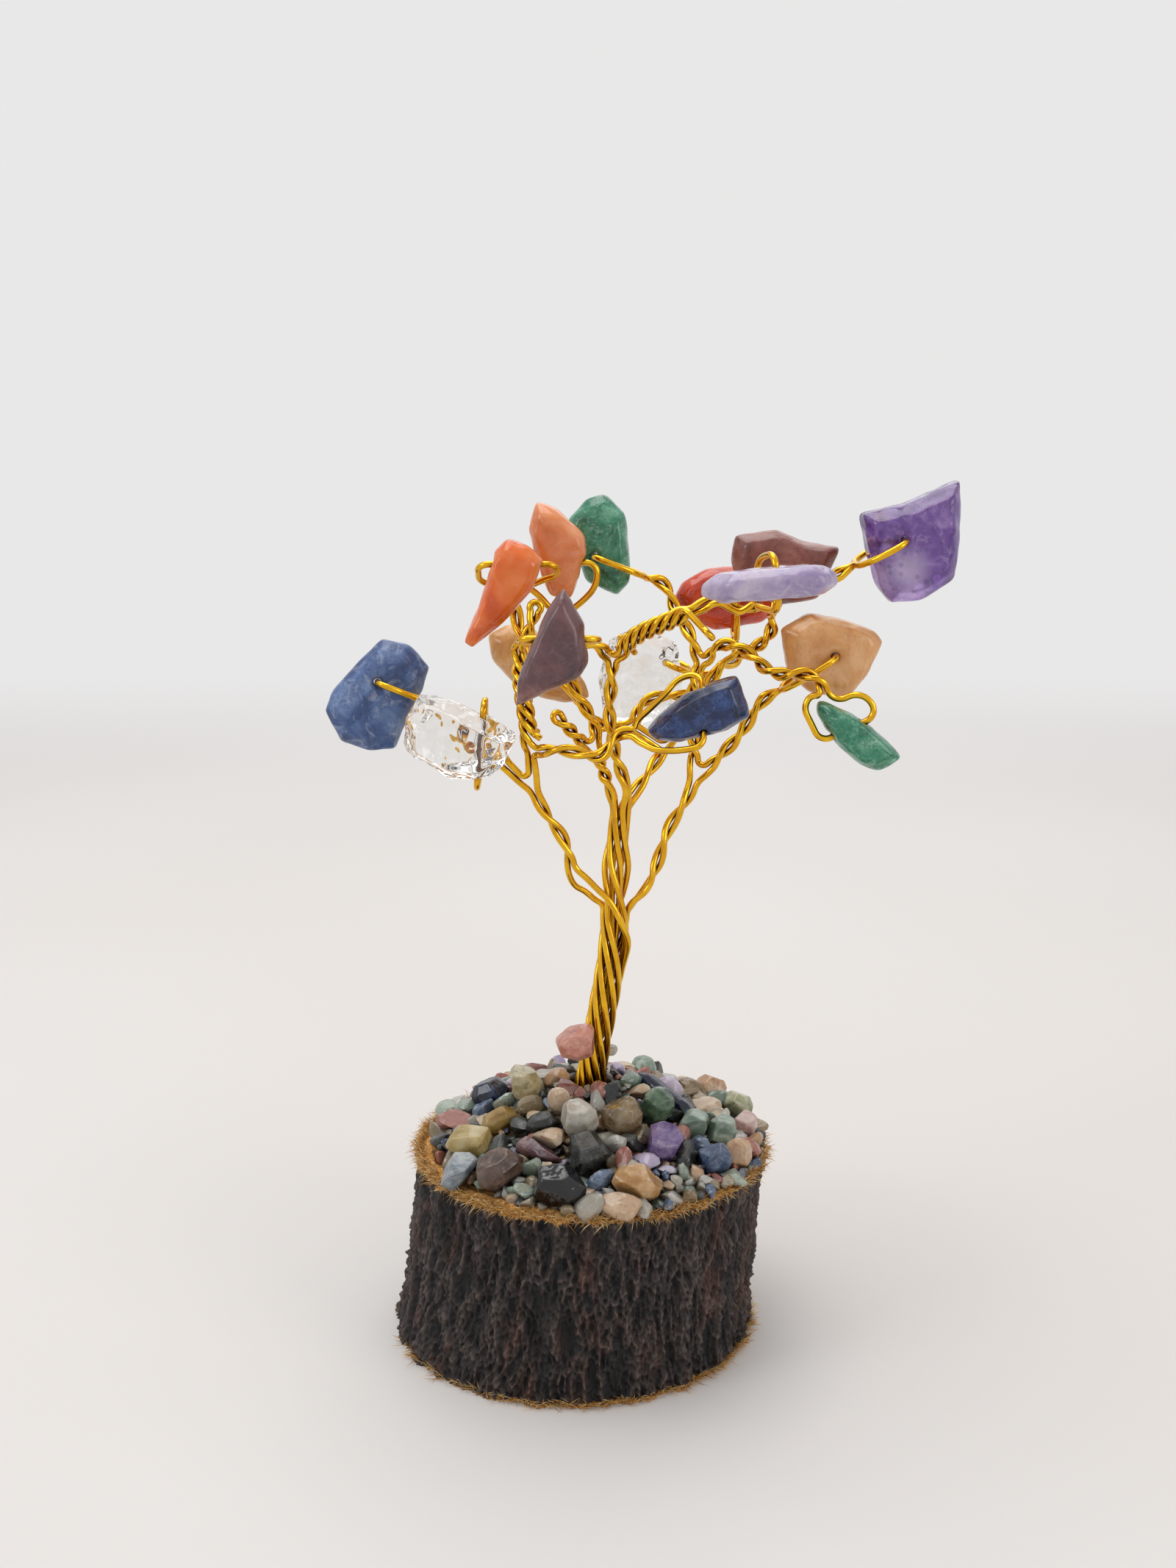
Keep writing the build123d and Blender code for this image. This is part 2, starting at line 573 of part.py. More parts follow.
def log_loft(corners, inset, relief, mode=Mode.ADD):
    """The log's body through all its levels, drawn in from the bark's mean surface."""
    sections = []
    for height_share, lean_share, radius in log_levels:
        outline = []
        for corner in range(corners):
            angle = full_turn * corner / corners
            ridge = sum(sin(turns * angle + turns) for turns in ridge_turns) * relief / 2
            distance = (radius - inset) * (1 + ridge / log_radius)
            outline.append((distance * cos(angle), distance * sin(angle)))
        level = Plane(origin=(lean_share * log_lean, 0, height_share * log_height))
        with BuildSketch(level) as section:
            Polygon(*outline, align=None)
        sections.append(section.sketch)
    loft(sections, ruled=True, mode=mode)


with BuildPart() as wood_core:
    log_loft(wood_corners, bark_thickness, 0)
    with Locations((trunk_x, 0, log_height - socket_depth)):
        Cylinder(socket_radius, socket_depth, align=standing, mode=Mode.SUBTRACT)
wood_core.part.label = "wood_core"
export_step(wood_core.part, "parts/wood_core.step")

with BuildPart() as bark_sleeve:
    log_loft(bark_corners, 0, bark_relief)
    log_loft(wood_corners, bark_thickness, 0, Mode.SUBTRACT)
bark_sleeve.part.label = "bark_sleeve"
export_step(bark_sleeve.part, "parts/bark_sleeve.step")

# The bed of glue, a low mound round the trunk
mound_shares = [(0.69, 0.34), (0.385, 0.70)]  # of the glue's radius and height
glue_corners = 24
mound = [(glue_radius, glue_edge_height)]
mound += [(glue_radius * across_share, glue_height * up_share) for across_share, up_share in mound_shares]
mound.append((glue_crest_radius, glue_height))
with BuildPart() as glue_bed:
    for radius, height in [(glue_radius, 0)] + mound:
        with BuildSketch(Plane(origin=(trunk_x, 0, log_height + height))):
            RegularPolygon(radius, glue_corners)
    loft(ruled=True)
    with Locations((trunk_x, 0, log_height)):
        Cylinder(socket_radius, glue_height, align=standing, mode=Mode.SUBTRACT)
glue_bed.part.label = "glue_bed"
export_step(glue_bed.part, "parts/glue_bed.step")

# Outlines of the base stones, as shares of their length and width
stone_outline_shares = {
    "chunk": [(-0.50, -0.16), (-0.26, -0.46), (0.22, -0.50), (0.50, -0.18), (0.42, 0.30), (0.08, 0.50),
              (-0.36, 0.40)],
    "oval": [(-0.50, 0.00), (-0.36, -0.36), (0.00, -0.50), (0.36, -0.38), (0.50, 0.02), (0.34, 0.38),
             (-0.02, 0.50), (-0.38, 0.34)],
    "block": [(-0.50, -0.30), (-0.38, -0.48), (0.40, -0.50), (0.50, -0.26), (0.46, 0.42), (-0.40, 0.50)],
    "sliver": [(-0.50, 0.04), (-0.34, -0.40), (0.18, -0.50), (0.50, -0.10), (0.30, 0.46), (-0.28, 0.50)],
}
stone_level_shares = [(0, 0.74), (0.36, 1.0), (0.70, 0.94), (1, 0.58)]

# The base stones: place, length, width and height as shares of the log's radius, then
# the heading of the length and how far the stone leans, in degrees
base_stone_shares = {
    "navy_bar_stone": ((0.414, 0.000), (0.43, 0.09, 0.083), -31, 0, "block"),
    "green_cone_stone": ((0.352, -0.221), (0.16, 0.15, 0.17), 70, 0, "chunk"),
    "amethyst_stone": ((0.386, -0.476), (0.20, 0.18, 0.15), 20, 0, "chunk"),
    "obsidian_stone": ((-0.152, -0.848), (0.29, 0.18, 0.14), -8, 0, "chunk"),
    "black_tourmaline_stone": ((0.000, -0.614), (0.21, 0.19, 0.16), 30, 0, "block"),
    "jasper_sliver_stone": ((-0.283, -0.517), (0.35, 0.097, 0.065), -36, 0, "sliver"),
    "brown_jasper_stone": ((-0.462, -0.669), (0.25, 0.18, 0.13), 25, 0, "oval"),
    "small_black_stone": ((-0.234, -0.359), (0.17, 0.10, 0.09), 5, 0, "chunk"),
    "yellow_calcite_stone": ((-0.634, -0.386), (0.20, 0.17, 0.14), -15, 0, "block"),
    "citrine_bar_stone": ((-0.462, -0.217), (0.21, 0.11, 0.10), 12, 0, "block"),
    "clear_crystal_stone": ((-0.303, -0.062), (0.15, 0.14, 0.19), 60, 0, "chunk"),
    "milky_crystal_stone": ((-0.048, -0.386), (0.19, 0.16, 0.16), 0, 0, "chunk"),
    "smoky_citrine_stone": ((0.172, -0.352), (0.19, 0.18, 0.16), 40, 0, "oval"),
    "peach_agate_stone": ((0.248, -0.814), (0.24, 0.16, 0.13), 8, 0, "oval"),
    "green_oval_stone": ((0.731, -0.200), (0.21, 0.14, 0.12), 72, 0, "oval"),
    "pale_green_stone": ((0.566, -0.234), (0.16, 0.13, 0.12), 80, 0, "block"),
    "blue_cube_stone": ((0.662, -0.510), (0.13, 0.13, 0.12), 25, 0, "block"),
    "olive_stone": ((0.848, 0.241), (0.19, 0.15, 0.12), 55, 0, "chunk"),
    "cream_stone": ((0.717, 0.483), (0.19, 0.15, 0.12), -40, 0, "oval"),
    "red_jasper_stone": ((-0.303, 0.186), (0.21, 0.14, 0.12), 15, 0, "chunk"),
    "navy_sodalite_stone": ((-0.538, 0.152), (0.20, 0.15, 0.13), -10, 0, "chunk"),
    "green_sliver_stone": ((-0.503, 0.379), (0.22, 0.09, 0.08), 12, 0, "sliver"),
    "grey_tooth_stone": ((-0.669, -0.607), (0.21, 0.14, 0.13), -137, 0, "chunk"),
    "peach_chunk_stone": ((0.807, -0.379), (0.15, 0.13, 0.11), 15, 0, "chunk"),
    "pale_pink_stone": ((0.869, -0.007), (0.15, 0.13, 0.11), 70, 0, "chunk"),
}
# One more stone is glued to the front of the trunk: its place as a share of the trunk's
# length, its offset to the right as a share of its own length, then as the base stones
perched_stone_shares = {
    "pink_rhodonite_stone": (0.405, -0.50, (0.22, 0.17, 0.13), 190, "chunk"),
}


def ground_height(spot):
    """How high the glue's surface, or the cut top beyond it, lies under a spot."""
    distance = hypot(spot.X - trunk_x, spot.Y)
    if distance > glue_radius:
        return log_height
    for (outer, low), (inner, high) in zip(mound, mound[1:]):
        if distance > inner:
            return log_height + low + (high - low) * (outer - distance) / (outer - inner)
    return log_height + glue_height


def rest(spot, outline, levels, height, heading, lean):
    """A plane on the ground under a stone, lifted until no corner is nearer than the gap."""
    size = max(hypot(x, y) for x, y in outline)
    right, far = Vector(size, 0, 0), Vector(0, size, 0)
    slope_x = (ground_height(spot + right) - ground_height(spot - right)) / (2 * size)
    slope_y = (ground_height(spot + far) - ground_height(spot - far)) / (2 * size)
    normal = Vector(-slope_x, -slope_y, 1).normalized()
    x_dir = across(Vector(cos(heading), sin(heading), 0), normal)
    normal = normal.rotate(Axis((0, 0, 0), x_dir), lean)
    plane = Plane(origin=spot, x_dir=x_dir, z_dir=normal)
    lift = 0
    for level, share in levels:
        for (x0, y0), (x1, y1) in zip(outline, outline[1:] + outline[:1]):
            for step in range(edge_looks):
                part = step / edge_looks
                x, y = (x0 + (x1 - x0) * part) * share, (y0 + (y1 - y0) * part) * share
                corner = plane.from_local_coords(Vector(x, y, level * height))
                lift = max(lift, ground_height(corner) - corner.Z)
    return Plane(origin=spot + Vector(0, 0, lift + seat_gap), x_dir=x_dir, z_dir=normal)


def plan_gap(spot, corners):
    """The distance in plan from a spot to an outline, or zero within it."""
    gap, inside = log_radius, False
    for start, end in zip(corners, corners[1:] + corners[:1]):
        side = Vector(end.X - start.X, end.Y - start.Y)
        away = Vector(spot.X - start.X, spot.Y - start.Y)
        along = min(max(away.dot(side) / side.dot(side), 0), 1)
        gap = min(gap, (away - side * along).length)
        if (start.Y > spot.Y) != (end.Y > spot.Y) and away.X < side.X * away.Y / side.Y:
            inside = not inside
    return 0 if inside else gap


edge_looks = 4
footprints = []
for name, (spot, (length, width, height), heading, lean, shape) in base_stone_shares.items():
    length, width, height = length * log_radius, width * log_radius, height * log_radius
    outline = [(x * length, y * width) for x, y in stone_outline_shares[shape]]
    spot = Vector(*spot) * log_radius
    plane = rest(spot, outline, stone_level_shares, height, radians(heading), lean)
    with BuildPart() as stone:
        stone_loft(plane, outline, stone_level_shares, height)
    stone.part.label = name
    export_step(stone.part, f"parts/{name}.step")
    footprints.append([plane.from_local_coords(Vector(x, y, 0)) for x, y in outline])

for name, (climb, aside, (length, width, height), heading, shape) in perched_stone_shares.items():
    length, width, height = length * log_radius, width * log_radius, height * log_radius
    outline = [(x * length, y * width) for x, y in stone_outline_shares[shape]]
    spot = trunk_line.position_at(climb) + Vector(aside * length, -(ring_offset + wire_radius + seat_gap), 0)
    way = Vector(cos(radians(heading)), 0, sin(radians(heading)))
    with BuildPart() as stone:
        stone_loft(Plane(origin=spot, x_dir=way, z_dir=front), outline, stone_level_shares, height)
    stone.part.label = name
    export_step(stone.part, f"parts/{name}.step")

# The crumbs, on a spiral that fills the mound evenly. One is left out where a larger
# stone lies, and the kinds are dealt in turn.
crumb_outline_shares = [(0.95, 0.05), (0.35, 0.85), (-0.70, 0.62), (-0.85, -0.45), (0.20, -0.95)]
crumb_level_shares = [(0, 0.76), (0.45, 1.0), (1, 0.60)]
crumb_size_shares = [1.0, 0.80, 0.92, 0.72, 0.86]
crumb_kinds = ["blue", "red", "clear", "green", "peach", "black", "amethyst", "yellow", "green", "clear",
               "red"]
crumb_reach_share = 0.92  # of the log's radius
golden_turn = radians(137.5)
crumbs = {kind: [] for kind in crumb_kinds}
spiral_step = crumb_spacing / sqrt(pi)
nearest = socket_radius + crumb_radius + crumb_clearance + seat_gap
dealt = 0
for index in range(int((log_radius * crumb_reach_share / spiral_step) ** 2)):
    distance = spiral_step * sqrt(index)
    turn = index * golden_turn
    spot = Vector(trunk_x + distance * cos(turn), distance * sin(turn), 0)
    size = crumb_size_shares[index % len(crumb_size_shares)] * crumb_radius
    room = size + crumb_clearance
    if distance > nearest and all(plan_gap(spot, corners) > room for corners in footprints):
        crumbs[crumb_kinds[dealt % len(crumb_kinds)]].append((spot, size, turn))
        dealt += 1
for kind, rows in crumbs.items():
    with BuildPart() as group:
        for spot, size, turn in rows:
            outline = [(x * size, y * size) for x, y in crumb_outline_shares]
            height = crumb_height * size / crumb_radius
            stone_loft(rest(spot, outline, crumb_level_shares, height, turn, 0), outline,
                       crumb_level_shares, height)
    group.part.label = f"{kind}_crumbs"
    export_step(group.part, f"parts/{kind}_crumbs.step")
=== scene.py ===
import json
import math
import random

import bmesh
import bpy
from mathutils import Matrix, Vector, noise
from mathutils.bvhtree import BVHTree


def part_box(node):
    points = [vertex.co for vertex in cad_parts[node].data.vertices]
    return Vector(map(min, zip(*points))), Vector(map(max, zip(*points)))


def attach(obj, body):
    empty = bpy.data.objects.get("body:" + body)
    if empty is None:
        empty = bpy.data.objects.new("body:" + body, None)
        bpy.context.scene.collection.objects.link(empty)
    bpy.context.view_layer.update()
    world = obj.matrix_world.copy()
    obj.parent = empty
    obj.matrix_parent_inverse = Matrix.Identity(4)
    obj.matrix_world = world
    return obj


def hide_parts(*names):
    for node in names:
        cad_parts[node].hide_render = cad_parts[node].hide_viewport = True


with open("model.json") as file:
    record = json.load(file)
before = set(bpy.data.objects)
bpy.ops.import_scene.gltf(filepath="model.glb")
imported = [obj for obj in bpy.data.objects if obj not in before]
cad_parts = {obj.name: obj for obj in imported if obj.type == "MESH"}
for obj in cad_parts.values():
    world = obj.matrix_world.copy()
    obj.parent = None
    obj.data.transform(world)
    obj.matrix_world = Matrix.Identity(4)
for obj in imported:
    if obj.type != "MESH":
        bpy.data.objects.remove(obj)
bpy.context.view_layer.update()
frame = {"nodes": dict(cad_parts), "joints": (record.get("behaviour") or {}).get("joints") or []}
mm = 0.001
print("frame loaded:", len(frame["nodes"]), "nodes")

# Photo frame and studio

photo = {"width": 1600, "height": 2133, "focalPixels": 2300}
camera = {"back": 131.9, "height": 72.0, "pitch": 11.3, "sensor": 36.0,  # mm, and pitch in degrees
          "nearest": 5, "farthest": 20000}
studio = {
    "floorColour": "#DFDBD8", "floorPale": "#E6E3E1",
    "floorFront": 500, "floorBack": 420, "floorSide": 900, "sweepRadius": 260, "sweepSteps": 16,
    "wallTop": 900, "wallTone": "#E9E8E8", "wallStart": 130, "wallFull": 420, "lampTarget": 35,
    "worldStrength": 0.50, "worldSeen": 0.86, "worldColour": "#FBFBFC",
    # place, size, watts and colour of each soft lamp
    "lamps": {
        "overhead": ((-60, 50, 430), 330, 0.95, "#FFFDFA"),
        "left window": ((-380, -200, 230), 160, 0.30, "#F8FBFF"),
        "right fill": ((360, -260, 180), 240, 0.42, "#FFF9F2"),
        "back rim": ((60, 330, 330), 300, 0.30, "#FFFFFF"),
    },
}


def linearColour(hexCode):
    channels = [int(hexCode[i:i + 2], 16) / 255 for i in (1, 3, 5)]
    return [c / 12.92 if c <= 0.04045 else ((c + 0.055) / 1.055) ** 2.4 for c in channels] + [1.0]


def addNode(tree, kind, inputs=None, stops=None, **settings):
    # adds one node, sets its options, then fills or links its inputs
    node = tree.nodes.new("ShaderNode" + kind)
    for key, value in settings.items():
        setattr(node, key, value)
    for key, value in (inputs or {}).items():
        if isinstance(value, bpy.types.NodeSocket):
            tree.links.new(value, node.inputs[key])
        else:
            node.inputs[key].default_value = value
    if stops:
        elements = node.color_ramp.elements
        while len(elements) < len(stops):
            elements.new(1.0)
        for element, (place, colour) in zip(elements, stops):
            element.position = place
            element.color = colour
    return node


def emptyMaterial(name):
    material = bpy.data.materials.new(name)
    material.use_nodes = True
    material.node_tree.nodes.clear()
    return material, material.node_tree


def meshObject(name, vertices, faces, material, smooth=True):
    mesh = bpy.data.meshes.new(name)
    mesh.from_pydata(vertices, [], faces)
    mesh.update()
    if smooth:
        mesh.polygons.foreach_set("use_smooth", [True] * len(mesh.polygons))
    piece = bpy.data.objects.new(name, mesh)
    bpy.context.scene.collection.objects.link(piece)
    mesh.materials.append(material)
    return piece


def buildCamera():
    data = bpy.data.cameras.new("photoCamera")
    data.sensor_width = camera["sensor"]
    data.lens = photo["focalPixels"] * camera["sensor"] / photo["height"]
    data.clip_start = camera["nearest"] * mm
    data.clip_end = camera["farthest"] * mm
    holder = bpy.data.objects.new("photoCamera", data)
    holder.location = (0, -camera["back"] * mm, camera["height"] * mm)
    holder.rotation_euler = (math.radians(90 - camera["pitch"]), 0, 0)
    bpy.context.scene.collection.objects.link(holder)
    bpy.context.scene.camera = holder


def seenDirectly(tree):
    # 1 for what the camera, gloss or glass sees, 0 for light that bounces
    path = addNode(tree, "LightPath")
    seen = addNode(tree, "Math", {0: path.outputs["Is Camera Ray"], 1: path.outputs["Is Glossy Ray"]},
                   operation="MAXIMUM")
    seen = addNode(tree, "Math", {0: seen.outputs[0], 1: path.outputs["Is Transmission Ray"]},
                   operation="MAXIMUM")
    return seen.outputs[0]


def seamlessPaper():
    # matt coated paper: no gloss, a faint unevenness, keeps the soft shadow
    material, tree = emptyMaterial("seamlessPaper")
    spot = addNode(tree, "TexCoord")
    cloud = addNode(tree, "TexNoise", {"Vector": spot.outputs["Object"], "Scale": 6.0, "Detail": 1.0})
    tone = addNode(tree, "ValToRGB", {"Fac": cloud.outputs["Fac"]},
                   stops=[(0.3, linearColour(studio["floorColour"])),
                          (0.7, linearColour(studio["floorPale"]))])
    shader = addNode(tree, "BsdfPrincipled", {"Base Color": tone.outputs["Color"], "Roughness": 0.9,
                                              "Specular IOR Level": 0.1})
    # far from the object the paper fades to one even tone for the camera, gloss and glass
    seen = seenDirectly(tree)
    depth = addNode(tree, "SeparateXYZ", {0: spot.outputs["Object"]})
    far = addNode(tree, "MapRange", {"Value": depth.outputs["Y"], "From Min": studio["wallStart"] * mm,
                                     "From Max": studio["wallFull"] * mm}, interpolation_type="SMOOTHSTEP")
    share = addNode(tree, "Math", {0: seen, 1: far.outputs["Result"]}, operation="MULTIPLY")
    even = addNode(tree, "Emission", {"Color": linearColour(studio["wallTone"]), "Strength": 1.0})
    both = addNode(tree, "MixShader", {0: share.outputs[0], 1: shader.outputs[0], 2: even.outputs[0]})
    addNode(tree, "OutputMaterial", {"Surface": both.outputs[0]})
    return material


def buildStudio():
    profile = [(-studio["floorFront"], 0), (studio["floorBack"], 0)]
    for step in range(1, studio["sweepSteps"] + 1):
        turn = math.radians(90 * step / studio["sweepSteps"])
        profile.append((studio["floorBack"] + studio["sweepRadius"] * math.sin(turn),
                        studio["sweepRadius"] * (1 - math.cos(turn))))
    profile.append((profile[-1][0], studio["wallTop"]))
    vertices = [(side * studio["floorSide"] * mm, y * mm, z * mm) for y, z in profile for side in (-1, 1)]
    faces = [(2 * i, 2 * i + 1, 2 * i + 3, 2 * i + 2) for i in range(len(profile) - 1)]
    meshObject("paperSweep", vertices, faces, seamlessPaper())

    world = bpy.data.worlds.new("studioLight")
    world.use_nodes = True
    tree = world.node_tree
    tree.nodes.clear()
    level = addNode(tree, "MapRange", {"Value": seenDirectly(tree), "To Min": studio["worldStrength"],
                                       "To Max": studio["worldSeen"]})
    sky = addNode(tree, "Background", {"Color": linearColour(studio["worldColour"]),
                                       "Strength": level.outputs["Result"]})
    addNode(tree, "OutputWorld", {"Surface": sky.outputs[0]})
    bpy.context.scene.world = world

    target = Vector((0, 0, studio["lampTarget"] * mm))
    for name, (place, size, watts, colour) in studio["lamps"].items():
        lamp = bpy.data.lights.new(name, "AREA")
        lamp.size = size * mm
        lamp.energy = watts
        lamp.color = linearColour(colour)[:3]
        holder = bpy.data.objects.new(name, lamp)
        holder.location = Vector(place) * mm
        holder.rotation_euler = (target - holder.location).to_track_quat("-Z", "Y").to_euler()
        bpy.context.scene.collection.objects.link(holder)
    bpy.context.scene.view_settings.view_transform = "Standard"


buildCamera()
buildStudio()
print("studio ready")

# Wire

wire = {
    "enamel": "#D4960F",  # polyurethane enamel over copper, seen as yellow gold
    # the colour of the painted shade between strands
    "deep": "#5C3202",
    "pale": "#F0BE24",
    "streakLength": 1.6,  # mm, drawing marks along the wire
    "streakDepth": 0.04,  # mm
    "crevice": 0.55,  # mm, how far strands shade each other
    "roughness": (0.14, 0.28),
}


def enamelledCopper():
    # drawn copper under clear gold enamel: sharp highlights, painted amber shade where strands shade each
    # other
    material, tree = emptyMaterial("enamelledCopper")
    spot = addNode(tree, "TexCoord")
    wear = addNode(tree, "TexNoise", {"Vector": spot.outputs["Object"],
                                      "Scale": 1 / (wire["streakLength"] * mm),
                                      "Detail": 3.0, "Roughness": 0.6})
    tone = addNode(tree, "ValToRGB", {"Fac": wear.outputs["Fac"]},
                   stops=[(0.30, linearColour(wire["enamel"])), (0.70, linearColour(wire["pale"]))])
    # painted shade: the colour goes towards deep where strands lie close to each other
    crevice = addNode(tree, "AmbientOcclusion", {"Distance": wire["crevice"] * mm}, samples=6)
    shade = addNode(tree, "MapRange", {"Value": crevice.outputs["AO"], "From Min": 0.30, "From Max": 0.85})
    colour = addNode(tree, "Mix", {0: shade.outputs["Result"], 6: linearColour(wire["deep"]),
                                   7: tone.outputs["Color"]}, data_type="RGBA")
    smooth, worn = wire["roughness"]
    dull = addNode(tree, "MapRange", {"Value": wear.outputs["Fac"], "To Min": smooth, "To Max": worn})
    marks = addNode(tree, "Bump", {"Height": wear.outputs["Fac"], "Strength": 0.10,
                                   "Distance": wire["streakDepth"] * mm})
    shader = addNode(tree, "BsdfPrincipled", {"Base Color": colour.outputs[2], "Metallic": 1.0,
                                              "Roughness": dull.outputs["Result"], "Coat Weight": 0.3,
                                              "Coat Roughness": 0.08, "Normal": marks.outputs["Normal"]})
    addNode(tree, "OutputMaterial", {"Surface": shader.outputs[0]})
    return material


copper = enamelledCopper()
wireNodes = [name for name in frame["nodes"] if name.endswith("_wire")]
for name in wireNodes:
    node = frame["nodes"][name]
    node.data.materials.clear()
    node.data.materials.append(copper)
print("wires finished:", len(wireNodes))

# Stones. Each row gives the colours from deep to light, the size of a patch, veils and specks
# with colour, size and amount, how much light passes straight through, how much scatters
# inside, and the roughness. Some have a colour for thin edges with its amount, and one has a
# clear zone with its place, core and edge, and colour. Sizes are in mm.

